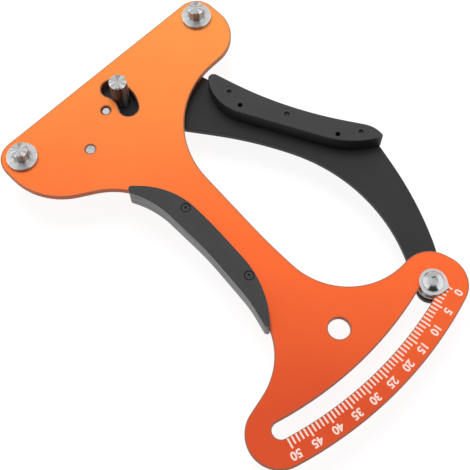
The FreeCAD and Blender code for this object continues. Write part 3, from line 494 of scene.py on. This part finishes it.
def turned_form(rings, sides=ROUND_SIDES, tube=False):
    """Bmesh through level rings about the Z axis, in millimetres.

    A ring is (radius, height) or (half width, height, "hex" or "tip"). A ring of five numbers, (start, end,
    crest, root, pitch), is a screw thread. A tube's last ring joins its first; other forms end in poles.
    """
    rows = []
    turns = [2 * math.pi * column / sides for column in range(sides + 1)]
    for ring in rings:
        if len(ring) < 4:
            kind = ring[2] if len(ring) == 3 else "round"
            rows.append([(ring[0] * across(kind, turn), turn, ring[1]) for turn in turns])
            continue
        start, end, crest, root, pitch = ring
        low, high = min(start, end), max(start, end)
        heights = []
        for step in range(-THREAD_STEPS, round((high - low) / pitch * THREAD_STEPS) + 1):
            row = []
            for turn in turns:
                height = min(max(low + pitch * (step / THREAD_STEPS + turn / (2 * math.pi)), low), high)
                wave = (height - low) / pitch - turn / (2 * math.pi)
                ridge = abs(2 * (wave % 1) - 1)
                row.append((root + (crest - root) * ridge, turn, height))
            heights.append(row)
        rows += heights if end > start else heights[::-1]
    shape = bmesh.new()
    grid = [[shape.verts.new(Vector((radius * math.cos(turn), radius * math.sin(turn), height)) * MM)
             for radius, turn, height in row] for row in rows]
    for here, there in zip(grid, grid[1:] + grid[:1] if tube else grid[1:]):
        for column in range(sides):
            shape.faces.new((here[column], here[column + 1], there[column + 1], there[column]))
    if not tube:
        for row in (grid[0], grid[-1]):
            pole = shape.verts.new((0, 0, row[0].co.z))
            for column in range(sides):
                shape.faces.new((row[column], row[column + 1], pole))
    bmesh.ops.remove_doubles(shape, verts=shape.verts, dist=MERGE_REACH)
    return shape


def eased(corners, amount, whole=False):
    """Profile with its corners rounded by an amount in millimetres; two ends stay unless it is whole."""
    spots = [Vector(corner[:2]) for corner in corners]
    result = []
    for index, spot in enumerate(spots):
        kind = corners[index][2:]
        if not whole and index in (0, len(spots) - 1):
            result.append((*spot, *kind))
            continue
        back, ahead = spots[index - 1] - spot, spots[(index + 1) % len(spots)] - spot
        cut = min(amount, back.length * 0.45, ahead.length * 0.45)
        start, end = spot + back.normalized() * cut, spot + ahead.normalized() * cut
        for step in range(4):
            part = step / 3
            bend = start * (1 - part) ** 2 + spot * 2 * part * (1 - part) + end * part ** 2
            result.append((*bend, *kind))
    return result


def placed(shape, x, y, z, flipped=False):
    """Move a bmesh, in metres; flipped turns its top towards the back."""
    if flipped:
        bmesh.ops.transform(shape, matrix=Matrix.Rotation(math.pi, 4, "X"), verts=shape.verts)
    bmesh.ops.translate(shape, vec=(x, y, z), verts=shape.verts)
    return shape


def socket_rings(key, depth, top=0.0):
    """Rings of a hexagon socket from its floor up to a chamfered mouth."""
    half = key / 2
    return [(half * 0.5, top - depth - 0.15), (half, top - depth, "hex"), (half, top - 0.12, "hex"),
            (half * 1.155 + 0.1, top)]


def screw_rings(head, radius, end, key, depth, pitch, thread_start):
    """Rings of a socket screw: head profile from the mouth outwards, then the thread down to its end."""
    root = radius - pitch * 0.5
    return (socket_rings(key, depth, head[0][1]) + eased(head, 0.12)
            + [(radius, thread_start + 0.01), (thread_start, end + pitch * 0.5, radius, root, pitch),
               (root * 0.92, end)])


def nut_rings(flats, height, bore):
    """Rings of a hexagon nut with chamfered corners and an eased bore."""
    half = flats / 2
    ease = 0.35 * (half * 1.155 - half) + 0.12
    return [(bore + 0.25, 0), (half * 0.96, 0), (half, ease, "hex"), (half, height - ease, "hex"),
            (half * 0.96, height), (bore + 0.25, height), (bore, height - 0.25), (bore, 0.25)]


# Geometry Nodes

def new_tree(name, inputs):
    """Geometry tree with a geometry input and output and named inputs, and what its inputs give."""
    tree = bpy.data.node_groups.new(name, "GeometryNodeTree")
    tree.interface.new_socket("Geometry", in_out="OUTPUT", socket_type="NodeSocketGeometry")
    tree.interface.new_socket("Geometry", in_out="INPUT", socket_type="NodeSocketGeometry")
    for label, kind, default in inputs:
        socket = tree.interface.new_socket(label, in_out="INPUT", socket_type="NodeSocket" + kind)
        if default is not None:
            socket.default_value = default
    return tree, add(tree, "NodeGroupInput").outputs


def end_tree(tree, geometry, given):
    """End a tree with Realize Instances and Set Material."""
    real = add(tree, "GeometryNodeRealizeInstances", {0: geometry}).outputs[0]
    surfaced = add(tree, "GeometryNodeSetMaterial", {"Geometry": real, "Material": given["Material"]})
    add(tree, "NodeGroupOutput", {0: surfaced.outputs[0]})
    return tree


def grown(piece, tree, values):
    """Give a piece a tree with its input values, and keep what it makes as a plain mesh."""
    modifier = piece.modifiers.new("Growth", "NODES")
    modifier.node_group = tree
    for item in tree.interface.items_tree:
        if item.in_out == "INPUT" and item.name in values:
            modifier[item.identifier] = values[item.name]
    graph = bpy.context.evaluated_depsgraph_get()
    mesh = bpy.data.meshes.new_from_object(piece.evaluated_get(graph), preserve_all_data_layers=True,
                                           depsgraph=graph)
    if not mesh.polygons:
        raise RuntimeError("%s came out empty" % piece.name)
    piece.modifiers.remove(modifier)
    mesh.name = piece.name
    piece.data = mesh
    return piece


def repeat_tree():
    """Tree that sets one form on every point of a mesh, each turned by its own amount."""
    if "Form on Points" in bpy.data.node_groups:
        return bpy.data.node_groups["Form on Points"]
    tree, given = new_tree("Form on Points", [
        ("Form", "Object", None), ("Most Turn", "Float", math.pi), ("Seed", "Int", 1),
        ("Material", "Material", None)])
    form = add(tree, "GeometryNodeObjectInfo", {"Object": given["Form"]}).outputs["Geometry"]
    turn = add(tree, "FunctionNodeRandomValue", {"Seed": given["Seed"]}, data_type="FLOAT")
    floats = [socket for socket in turn.inputs if socket.type == "VALUE"]
    tree.links.new(calc(tree, "MULTIPLY", given["Most Turn"], -1.0), floats[0])
    tree.links.new(given["Most Turn"], floats[1])
    value = next(socket for socket in turn.outputs if socket.type == "VALUE")
    copies = add(tree, "GeometryNodeInstanceOnPoints", {
        "Points": given["Geometry"], "Instance": form, "Rotation": combined(tree, z=value)}).outputs[0]
    return end_tree(tree, copies, given)


def repeated(name, shape, spots, material, seed):
    """Piece made of one form at several spots, in metres, grown by the repeat tree."""
    points = bpy.data.meshes.new(name)
    points.from_pydata(spots, [], [])
    piece = new_piece(name, points)
    form = new_piece(name + "_form", mesh_of(shape, name + "_form"))
    grown(piece, repeat_tree(), {"Form": form, "Most Turn": math.pi, "Seed": seed, "Material": material})
    bpy.data.objects.remove(form)
    return piece


TICK_INPUTS = (("Ticks", "Int"), ("Group", "Int"), ("First Angle", "Float"), ("Step Angle", "Float"),
               ("Inner Radius", "Float"), ("Short Length", "Float"), ("Long Length", "Float"),
               ("Tick Width", "Float"), ("Print Height", "Float"))


def tick_tree():
    """Tree that lays tick lines about the pivot, every few of them longer."""
    tree, given = new_tree("Tick Lines", [(label, kind, None) for label, kind in (
        *TICK_INPUTS, ("Pivot", "Vector"), ("Material", "Material"))])
    index = add(tree, "GeometryNodeInputIndex").outputs[0]
    turn = calc(tree, "MULTIPLY_ADD", index, given["Step Angle"], given["First Angle"])
    long_one = calc(tree, "LESS_THAN", calc(tree, "MODULO", index, given["Group"]), 0.5)
    extra = calc(tree, "SUBTRACT", given["Long Length"], given["Short Length"])
    size = calc(tree, "MULTIPLY_ADD", long_one, extra, given["Short Length"])
    reach = calc(tree, "MULTIPLY_ADD", size, 0.5, given["Inner Radius"])
    spot = combined(tree, *(calc(tree, "MULTIPLY", reach, calc(tree, part, turn))
                            for part in ("COSINE", "SINE")))
    line = add(tree, "GeometryNodeMeshLine", {"Count": given["Ticks"]}).outputs[0]
    points = add(tree, "GeometryNodeSetPosition", {
        "Geometry": line, "Position": vector_calc(tree, "ADD", spot, given["Pivot"])}).outputs[0]
    thick = calc(tree, "MULTIPLY", given["Print Height"], 2.0)
    copies = add(tree, "GeometryNodeInstanceOnPoints", {
        "Points": points, "Instance": add(tree, "GeometryNodeMeshCube", {"Size": (1, 1, 1)}).outputs[0],
        "Rotation": combined(tree, z=turn),
        "Scale": combined(tree, size, given["Tick Width"], thick)}).outputs[0]
    return end_tree(tree, copies, given)


def wire_tree():
    """Tree that sweeps a round wire along a path, with places along and around it as attributes."""
    tree, given = new_tree("Wire on Path", [
        ("Wire Radius", "Float", 0.0), ("Sides", "Int", 24), ("Material", "Material", None)])

    def marked(curve, name, value):
        return add(tree, "GeometryNodeStoreNamedAttribute", {
            "Geometry": curve, "Name": name, "Value": value}, domain="POINT", data_type="FLOAT").outputs[0]

    run = add(tree, "GeometryNodeSplineParameter").outputs
    path = add(tree, "GeometryNodeMeshToCurve", {0: given["Geometry"]}).outputs[0]
    ring = add(tree, "GeometryNodeCurvePrimitiveCircle", {
        "Resolution": given["Sides"], "Radius": given["Wire Radius"]}).outputs[0]
    tube = add(tree, "GeometryNodeCurveToMesh", {
        "Curve": marked(path, "along", calc(tree, "MULTIPLY", run["Length"], 100.0)),
        "Profile Curve": marked(ring, "around", calc(tree, "PINGPONG", run["Factor"], 0.5)),
        "Fill Caps": True}).outputs[0]
    return end_tree(tree, tube, given)


# Pieces

# Sizes in millimetres that several pieces share
POINTER_RADIUS = 6.3
POINTER_TIP = 7.4
POINTER_BORE = 2.6
PIVOT_BORE = 3.1
POST_BORE = 2.05
PLATE_BACK = -3.0
LEVER_BACK = -9.0
PIN_RADIUS = 2.4
PIN_RIM = 1.0
SEAT_GAP = 0.1


def show_turned(node, rings, place, surface, sides=ROUND_SIDES, tube=False):
    """Turn a form, set it at a place in metres and show it in place of a CAD node."""
    name, shape = node + "_turned", placed(turned_form(rings, sides, tube), *place)
    stand_for(new_piece(name, mesh_of(shape, name), surface), node)


class TENSION_METER_OT_plates(Operator):
    """Finish the orange body plate and the black lever plate."""

    bl_idname = "tension_meter.plates"
    bl_label = "Plates"

    def execute(self, context):
        for node, maker in (("body_plate", anodised_plate), ("lever_plate", anodised_lever)):
            stand_for(new_piece(node + "_finish", joined_copy(node), kept_surface(maker)), node)
        return {"FINISHED"}


class TENSION_METER_OT_grips(Operator):
    """Finish the two halves of the body grip and the lever grip."""

    bl_idname = "tension_meter.grips"
    bl_label = "Grips"

    def execute(self, context):
        values = finish()
        # The body grip's walls get painted light, the lever grip's walls painted shade.
        body_wall_painted_light = values.body_grip_wall
        for node, wall in (("body_grip_front", body_wall_painted_light), ("body_grip_back", body_wall_painted_light),
                           ("lever_grip", values.lever_grip_wall)):
            surface = kept_surface(moulded_grip, wall * 0.35, wall)
            stand_for(new_piece(node + "_finish", joined_copy(node), surface), node)
        return {"FINISHED"}


class TENSION_METER_OT_posts(Operator):
    """Turn the two flanged fixed posts and the longer moving post."""

    bl_idname = "tension_meter.posts"
    bl_label = "Posts"

    def execute(self, context):
        # Each post's last number is the painted shade share of its walls, darkest on the moving post.
        for node, radius, flange, wall in (
                ("fixed_post_left", 4.0, 7.4, 0.5), ("fixed_post_right", 4.0, 7.4, 0.5),
                ("moving_post", 4.3, None, 0.16)):
            x, y, low, high = span(node)
            tall = (high - low) / MM
            profile = [(POST_BORE, 6.0), (POST_BORE, 0.0)]
            if flange:
                profile += [(flange - 0.1, 0.0), (flange, 0.1), (flange, 1.75), (flange - 0.25, 2.0),
                            (radius + 0.15, 2.0)]
            profile += [(radius, 2.15 if flange else 0.0), (radius, tall - 0.5), (radius - 0.5, tall),
                        (0.35, tall), (0.2, tall - 0.08)]
            # The last number is the share of painted reflection sectors on the post's turned faces.
            surface = turned_metal("turned_" + node, (x, y), finish().bright_colour, 0.38, 0.95, wall, 0.6)
            show_turned(node, eased(profile, 0.09), (x, y, low), surface)
        return {"FINISHED"}


class TENSION_METER_OT_pointer(Operator):
    """Turn the pointer's disc with its tip and the flanged boss under it."""

    bl_idname = "tension_meter.pointer"
    bl_label = "Pointer"

    tip_angle: angle("Tip Angle", "Where the pointer's tip points", -65.9)

    def execute(self, context):
        bright = finish().bright_colour
        x, y, low, high = span("pointer_boss")
        surface = turned_metal("turned_pointer", (x, y), shaded(bright, 0.86))
        disc = [(POINTER_BORE, 0.0), (POINTER_RADIUS, 0.0, "tip"), (POINTER_RADIUS, 1.0, "tip"),
                (POINTER_BORE, 1.0)]
        shape = turned_form(eased(disc, 0.14, True), tube=True)
        bmesh.ops.rotate(shape, cent=(0, 0, 0), matrix=Matrix.Rotation(self.tip_angle, 3, "Z"),
                         verts=shape.verts)
        placed(shape, x, y, span("pointer")[2])
        stand_for(new_piece("pointer_disc", mesh_of(shape, "pointer_disc"), surface), "pointer")
        tall = (high - low) / MM
        boss = [(POINTER_BORE, 0.0), (5.9, 0.0), (5.9, 1.5), (3.6, 2.65), (3.6, tall), (POINTER_BORE, tall)]
        dull = turned_metal("turned_boss", (x, y), shaded(bright, 0.5), 0.42, 0.5)
        show_turned("pointer_boss", eased(boss, 0.12, True), (x, y, low), dull, tube=True)
        return {"FINISHED"}


class TENSION_METER_OT_pivot(Operator):
    """Turn the pivot bolt, its spacer, bush, hub and washers, and the spring's two pins."""

    bl_idname = "tension_meter.pivot"
    bl_label = "Pivot"

    def execute(self, context):
        values, centre = finish(), (PIVOT.x, PIVOT.y)
        steel = turned_metal("turned_pivot_steel", centre, values.plated_colour, 0.28, 0.6)
        brass = turned_metal("turned_pivot_brass", centre, values.brass_colour, 0.32, 0.5)
        end, top = (height / MM for height in span("pivot_bolt")[2:])
        head = -20.64
        bolt = [(0.6, top), (1.75, top), (2.4, top - 0.6), (top - 0.65, PLATE_BACK, 2.4, 2.05, 0.8),
                (3.0, PLATE_BACK), (3.0, head), (5.5, head), (5.5, end + 0.4), (5.1, end), (2.5, end),
                (2.0, end + 0.2, "hex"), (2.0, end + 2.2, "hex"), (1.0, end + 2.4)]
        show_turned("pivot_bolt", bolt, (*centre, 0), steel)
        for node, outer in (("pivot_spacer", 6.5), ("spring_washer", 10.5), ("spring_hub", 5.7),
                            ("cap_washer", 10.5)):
            low, high = (height / MM for height in span(node)[2:])
            ring = [(PIVOT_BORE, low), (outer, low), (outer, high), (PIVOT_BORE, high)]
            show_turned(node, eased(ring, 0.15, True), (*centre, 0), steel, tube=True)
        bush = [(3.05, -6.0), (4.55, -6.0), (4.55, LEVER_BACK), (6.5, LEVER_BACK), (6.5, -10.0),
                (3.05, -10.0)]
        show_turned("pivot_bush", eased(bush, 0.12, True), (*centre, 0), brass, tube=True)
        for node, carrier in (("spring_anchor_pin", PLATE_BACK), ("spring_lever_pin", LEVER_BACK)):
            x, y, low, high = span(node)
            low, high = low / MM, high / MM
            rim = low + PIN_RIM
            pin = [(0.5, high + 0.02), (PIN_RADIUS - 0.2, high), (PIN_RADIUS, high - 0.2),
                   (PIN_RADIUS, carrier), (4.0, carrier), (4.0, carrier - 1.0), (PIN_RADIUS, carrier - 1.0),
                   (PIN_RADIUS, rim), (3.4, rim), (3.4, low + 0.25), (3.15, low)]
            # The last number is the share of painted reflection sectors on the pin's turned faces.
            surface = turned_metal("turned_" + node, (x, y), values.plated_colour, 0.26, 0.7, 1.0, 0.5)
            show_turned(node, eased(pin, 0.1), (x, y, 0), surface, SMALL_SIDES)
        return {"FINISHED"}


class TENSION_METER_OT_fasteners(Operator):
    """Set the screws, nuts, washer and dowels at their places."""

    bl_idname = "tension_meter.fasteners"
    bl_label = "Screws and Nuts"

    def execute(self, context):
        plated, black = kept_surface(plated_steel), kept_surface(black_steel)

        def set_down(node, rings, spots, surface, seed, flipped=False, tube=False, sides=SMALL_SIDES):
            shape = placed(turned_form(rings, sides, tube), 0, 0, 0, flipped)
            spots = [Vector(spot) * MM for spot in spots]
            stand_for(repeated(node + "_set", shape, spots, surface, seed), node)

        def at(height):
            return [(*place, height) for place in places]

        places = [(side * span("fixed_post_right")[0] / MM, 0) for side in (-1, 1)]
        head = [(1.55, 2.2), (3.25, 2.2), (3.5, 1.95), (3.5, 0.0), (2.0, 0.0)]
        rings = screw_rings(head, 2.0, -8.0, 2.5, 1.3, 0.7, -0.4)
        set_down("post_screws", rings, at(PLATE_BACK), plated, 3, True)

        x, y, low = (value / MM for value in span("moving_post_screw")[:3])
        head = [(1.55, 0.0), (3.6, 0.0), (2.0, -1.6)]
        rings = screw_rings(head, 2.0, -8.0, 2.5, 1.2, 0.7, -2.0)
        set_down("moving_post_screw", rings, [(x, y, low)], plated, 5, True)

        places = [(-21.173, -74.958), (-24.042, -118.888)]
        head = [(0.97, 2.0), (1.9, 2.0), (1.9, 0.0), (1.0, 0.0)]
        rings = screw_rings(head, 1.0, -8.55, 1.5, 1.0, 0.4, -1.2)
        set_down("body_grip_screws", rings, at(1.85), black, 11)
        set_down("body_grip_nuts", nut_rings(4.0, 1.6, 1.05), at(-6.7), black, 0, tube=True)

        places = [(36.491, -44.506), (47.491, -72.895), (65.25, -104.557)]
        head = [(1.5, 0.0), (3.02, 0.0), (3.1, -0.08), (1.5, -1.6)]
        rings = screw_rings(head, 1.5, -14.8, 2.5, 1.3, 0.5, -5.0)
        set_down("lever_grip_screws", rings, at(2.9), black, 4)
        set_down("lever_grip_nuts", nut_rings(5.5, 2.4, 1.55), at(-11.4), black, 9, tube=True)

        places = [(35.101, -53.5), (56.696, -97.605)]
        dowel = [(0.3, -8.5), (1.0, -8.5), (1.15, -8.35), (1.15, -0.15), (1.0, 0.0), (0.3, 0.0)]
        set_down("lever_grip_pins", eased(dowel, 0.05), at(0), black, 2)

        x, y = (value / MM for value in span("pointer_screw")[:2])
        rise, wide = 2.05, 4.8
        dome = (wide ** 2 + rise ** 2) / (2 * rise)
        radii = [1.95 + (wide - 1.95) * step / 12 for step in range(13)]
        head = [(radius, 2.75 - dome + math.sqrt(dome ** 2 - radius ** 2)) for radius in radii]
        rings = socket_rings(3.0, 1.7, head[0][1]) + head[1:] + [
            (wide, 0.0), (2.5, 0.0), (2.5, -4.0), (-4.1, -15.6, 2.5, 2.15, 0.8), (1.9, -15.85)]
        tone = shaded(finish().plated_colour, 0.72)
        surface = turned_metal("turned_button_screw", (x * MM, y * MM), tone, 0.16, 0.2)
        set_down("pointer_screw", rings, [(x, y, 1.35)], surface, 8, sides=ROUND_SIDES)
        set_down("pointer_nut", nut_rings(8.0, 4.0, 2.55), [(x, y, -14.0)], plated, 6, tube=True)
        washer = eased([(POINTER_BORE, 0.0), (5.0, 0.0), (5.0, 1.0), (POINTER_BORE, 1.0)], 0.12, True)
        set_down("pointer_washer", washer, [(x, y, -10.0)], plated, 1, tube=True)
        return {"FINISHED"}


class TENSION_METER_OT_spring(Operator):
    """Wind the return spring between its two pins."""

    bl_idname = "tension_meter.spring"
    bl_label = "Return Spring"

    def execute(self, context):
        values = context.scene.tension_meter_spring
        radius, wire, pins = values.coil_radius, values.wire_radius, []
        for node in ("spring_anchor_pin", "spring_lever_pin"):
            x, y, low = span(node)[:3]
            pins.append((Vector((x, y)) - PIVOT.xy, low + (PIN_RIM + SEAT_GAP) * MM + wire))
        reach = pins[0][0].length
        pin_angles = [math.atan2(spot.y, spot.x) for spot, low in pins]
        lean = math.acos((radius + (PIN_RADIUS + SEAT_GAP) * MM + wire) / reach)
        start, end = pin_angles[0] - lean, pin_angles[1] + lean
        sweep = (start - end) % (2 * math.pi) + 2 * math.pi * values.whole_turns
        rise = pins[1][1] - pins[0][1]
        ease_in = sweep / math.ceil(sweep / (math.pi / 2))
        slope = rise / (sweep - ease_in)
        count = round(sweep / (2 * math.pi) * values.turn_points)
        leg = math.sqrt(reach ** 2 - radius ** 2) + values.leg_overhang
        path = []
        for step in range(count + 1):
            run = sweep * step / count
            height = slope * (run - ease_in / 2)
            if run < ease_in:
                height = slope * run ** 2 / (2 * ease_in)
            elif run > sweep - ease_in:
                height = rise - slope * (sweep - run) ** 2 / (2 * ease_in)
            turn = start - run
            path.append(Vector((PIVOT.x + radius * math.cos(turn), PIVOT.y + radius * math.sin(turn),
                                pins[0][1] + height)))
        first, last = (Vector((math.sin(turn), -math.cos(turn), 0)) * leg for turn in (start, end))
        parts = [step / 10 for step in range(10)]
        path = ([path[0] - first * (1 - part) for part in parts] + path
                + [path[-1] + last * (1 - part) for part in reversed(parts)])
        mesh = bpy.data.meshes.new("return_spring_wound")
        mesh.from_pydata(path, [(index, index + 1) for index in range(len(path) - 1)], [])
        piece = grown(new_piece("return_spring_wound", mesh), wire_tree(), {
            "Wire Radius": wire, "Sides": 24, "Material": kept_surface(spring_wire)})
        piece.data.shade_smooth()
        piece.data.set_sharp_from_angle(angle=SMOOTH_ANGLE)
        stand_for(piece, "return_spring")
        return {"FINISHED"}


class TENSION_METER_OT_scale(Operator):
    """Print the tick lines and the numbers beside the arc slot."""

    bl_idname = "tension_meter.scale"
    bl_label = "Scale Print"

    def execute(self, context):
        values = context.scene.tension_meter_scale
        ink = kept_surface(scale_print)
        inputs = {label: getattr(values, label.lower().replace(" ", "_")) for label in dict(TICK_INPUTS)}
        inputs.update({"Pivot": (PIVOT.x, PIVOT.y, 0.0), "Material": ink})
        ticks = grown(new_piece("scale_ticks", bpy.data.meshes.new("scale_ticks")), tick_tree(), inputs)
        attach(ticks, "body")
        shape = bmesh.new()
        for tick in range(0, values.ticks, values.group):
            text = bpy.data.curves.new("number_%d" % tick, "FONT")
            text.body = str(tick)
            text.align_x = "CENTER"
            text.size = 1.0
            text.extrude = 0.5
            text.offset = values.number_weight / values.number_height
            letter = new_piece("number_%d" % tick, text)
            graph = context.evaluated_depsgraph_get()
            mesh = bpy.data.meshes.new_from_object(letter.evaluated_get(graph))
            heights = [corner.co.y for corner in mesh.vertices]
            low, high = min(heights), max(heights)
            tall = values.number_height / (high - low)
            turn = values.first_angle + values.step_angle * tick
            spot = Vector((math.cos(turn), math.sin(turn), 0)) * values.number_radius
            mesh.transform(Matrix.Translation(Vector((PIVOT.x, PIVOT.y, 0)) + spot)
                           @ Matrix.Rotation(turn - math.pi / 2, 4, "Z")
                           @ Matrix.Diagonal((tall * values.number_width, tall, 2 * values.print_height, 1))
                           @ Matrix.Translation((0, -(low + high) / 2, 0)))
            shape.from_mesh(mesh)
            bpy.data.objects.remove(letter)
            bpy.data.curves.remove(text)
            bpy.data.meshes.remove(mesh)
        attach(new_piece("scale_numbers", mesh_of(shape, "scale_numbers"), ink), "body")
        return {"FINISHED"}


class TENSION_METER_OT_stage(Operator):
    """Set up the floor, lamps, surroundings and the camera."""

    bl_idname = "tension_meter.stage"
    bl_label = "Stage"

    def execute(self, context):
        scene, values = context.scene, context.scene.tension_meter_stage
        scene.view_settings.view_transform = "Standard"
        camera = new_piece("camera", bpy.data.cameras.new("camera"))
        camera.data.sensor_width = 36
        camera.data.lens = values.lens
        camera.data.clip_start = 0.01
        camera.location = values.camera_place
        camera.rotation_euler = values.camera_turn
        scene.camera = camera
        self.floor(values)
        self.surroundings(scene, values)
        self.key_lamp(values)
        return {"FINISHED"}

    def floor(self, values):
        """White floor that keeps a faint shadow and can't be seen from below."""
        side, level = values.floor_size / 2, cad_box[0].z - values.floor_gap
        mesh = bpy.data.meshes.new("floor")
        mesh.from_pydata([(x * side, y * side, level) for x, y in ((-1, -1), (1, -1), (1, 1), (-1, 1))],
                         [], [(0, 1, 2, 3)])
        material, tree = new_surface("floor_pale")[:2]
        dress(tree, Base_Color=(FLOOR_TONE,) * 3, Roughness=0.9, Specular_IOR_Level=0.0)
        base, glowing = tree.nodes["Principled BSDF"].outputs[0], []
        for strength in (values.floor_glow, FLOOR_SEEN_GLOW):
            glow = add(tree, "ShaderNodeEmission", {"Color": (1, 1, 1, 1), "Strength": strength}).outputs[0]
            glowing.append(add(tree, "ShaderNodeAddShader", {0: base, 1: glow}).outputs[0])
        ray = add(tree, "ShaderNodeLightPath").outputs
        seen = calc(tree, "MAXIMUM", ray["Is Camera Ray"],
                    calc(tree, "MAXIMUM", ray["Is Glossy Ray"], ray["Is Transmission Ray"]))
        shown = add(tree, "ShaderNodeMixShader", {0: seen, 1: glowing[0], 2: glowing[1]}).outputs[0]
        clear = add(tree, "ShaderNodeBsdfTransparent").outputs[0]
        behind = add(tree, "ShaderNodeNewGeometry").outputs["Backfacing"]
        final = add(tree, "ShaderNodeMixShader", {0: behind, 1: shown, 2: clear}).outputs[0]
        tree.links.new(final, tree.nodes["Material Output"].inputs["Surface"])
        new_piece("floor", mesh, material)

    def surroundings(self, scene, values):
        """White to the camera, and a white tent with a dark gap at the camera's side on the object."""
        world = bpy.data.worlds.new("studio")
        world.use_nodes = True
        scene.world = world
        tree = world.node_tree
        tree.nodes.clear()
        way = add(tree, "ShaderNodeTexCoord").outputs["Generated"]
        flat = vector_calc(tree, "NORMALIZE", vector_calc(tree, "MULTIPLY", way, (1, 1, 0)))
        aside = vector_calc(tree, "DOT_PRODUCT", flat, -PICTURE_UP)
        edge, soft = math.cos(values.dark_half), 0.06
        beside = ramp(tree, aside, edge - soft, edge + soft, 1.0, 0.0, True)
        rise = z_of(tree, way)
        top, soft = math.sin(values.dark_top), 0.08
        above = ramp(tree, rise, top - soft, top + soft, 0.0, 1.0, True)
        open_tent = calc(tree, "MAXIMUM", beside, above)
        sides = calc(tree, "ABSOLUTE", vector_calc(tree, "DOT_PRODUCT", flat, PICTURE_LEFT))
        sides = ramp(tree, sides, 0.45, 0.8, smooth=True)
        sides = calc(tree, "MULTIPLY", sides, ramp(tree, rise, 0.95, 0.6))
        tent = ramp(tree, sides, 0.0, 1.0, values.tent_level, values.side_level)
        level = calc(tree, "MULTIPLY_ADD", open_tent, calc(tree, "SUBTRACT", tent, values.dark_level),
                     values.dark_level)
        ray = add(tree, "ShaderNodeLightPath").outputs
        soft = ramp(tree, ray["Is Glossy Ray"], 0.0, 1.0, values.soft_share, 1.0)
        level = calc(tree, "MULTIPLY", level, soft)
        light, white = (add(tree, "ShaderNodeBackground", {"Color": (1, 1, 1, 1), "Strength": strength})
                        for strength in (level, 1.0))
        mix = add(tree, "ShaderNodeMixShader", {0: ray["Is Camera Ray"], 1: light.outputs[0],
                                                2: white.outputs[0]})
        add(tree, "ShaderNodeOutputWorld", {"Surface": mix.outputs[0]})

    def key_lamp(self, values):
        """Square soft lamp that looks at the object's middle; reflections don't show it."""
        data = bpy.data.lights.new("key_lamp", "AREA")
        data.shape = "SQUARE"
        data.size = 1.0
        data.energy = values.key_power
        lamp = new_piece("key_lamp", data)
        lamp.visible_glossy = False
        lamp.location = (Vector(cad_box[0]) + Vector(cad_box[1])) / 2 + KEY_LAMP_WAY
        lamp.rotation_euler = KEY_LAMP_WAY.to_track_quat("Z", "Y").to_euler()


OPERATORS = (TENSION_METER_OT_plates, TENSION_METER_OT_grips, TENSION_METER_OT_posts,
             TENSION_METER_OT_pointer, TENSION_METER_OT_pivot, TENSION_METER_OT_fasteners,
             TENSION_METER_OT_spring, TENSION_METER_OT_scale, TENSION_METER_OT_stage)
GROUPS = {"tension_meter_finish": TensionMeterFinish, "tension_meter_scale": TensionMeterScale,
          "tension_meter_spring": TensionMeterSpring, "tension_meter_stage": TensionMeterStage}


class TENSION_METER_PT_sidebar(Panel):
    """Buttons for the pieces, and their sizes and colours."""

    bl_idname = "TENSION_METER_PT_sidebar"
    bl_label = "Tension Meter"
    bl_space_type = "VIEW_3D"
    bl_region_type = "UI"
    bl_category = "Tension Meter"

    def draw(self, context):
        column = self.layout.column(align=True)
        for operator in OPERATORS:
            column.operator(operator.bl_idname)
        for name, group in GROUPS.items():
            box = self.layout.box()
            box.label(text=group.__doc__)
            for key in group.__annotations__:
                box.prop(getattr(context.scene, name), key)


def register():
    for name, group in GROUPS.items():
        bpy.utils.register_class(group)
        setattr(bpy.types.Scene, name, PointerProperty(type=group))
    for part in (*OPERATORS, TENSION_METER_PT_sidebar):
        bpy.utils.register_class(part)


def unregister():
    for part in (TENSION_METER_PT_sidebar, *reversed(OPERATORS)):
        bpy.utils.unregister_class(part)
    for name, group in GROUPS.items():
        delattr(bpy.types.Scene, name)
        bpy.utils.unregister_class(group)


def main():
    """Register the add-on, then make every piece and the stage."""
    register()
    calls = bpy.ops.tension_meter
    for call in (calls.plates, calls.grips, calls.posts, calls.pointer, calls.pivot, calls.fasteners,
                 calls.spring, calls.scale, calls.stage):
        call()


if __name__ == "__main__":
    main()
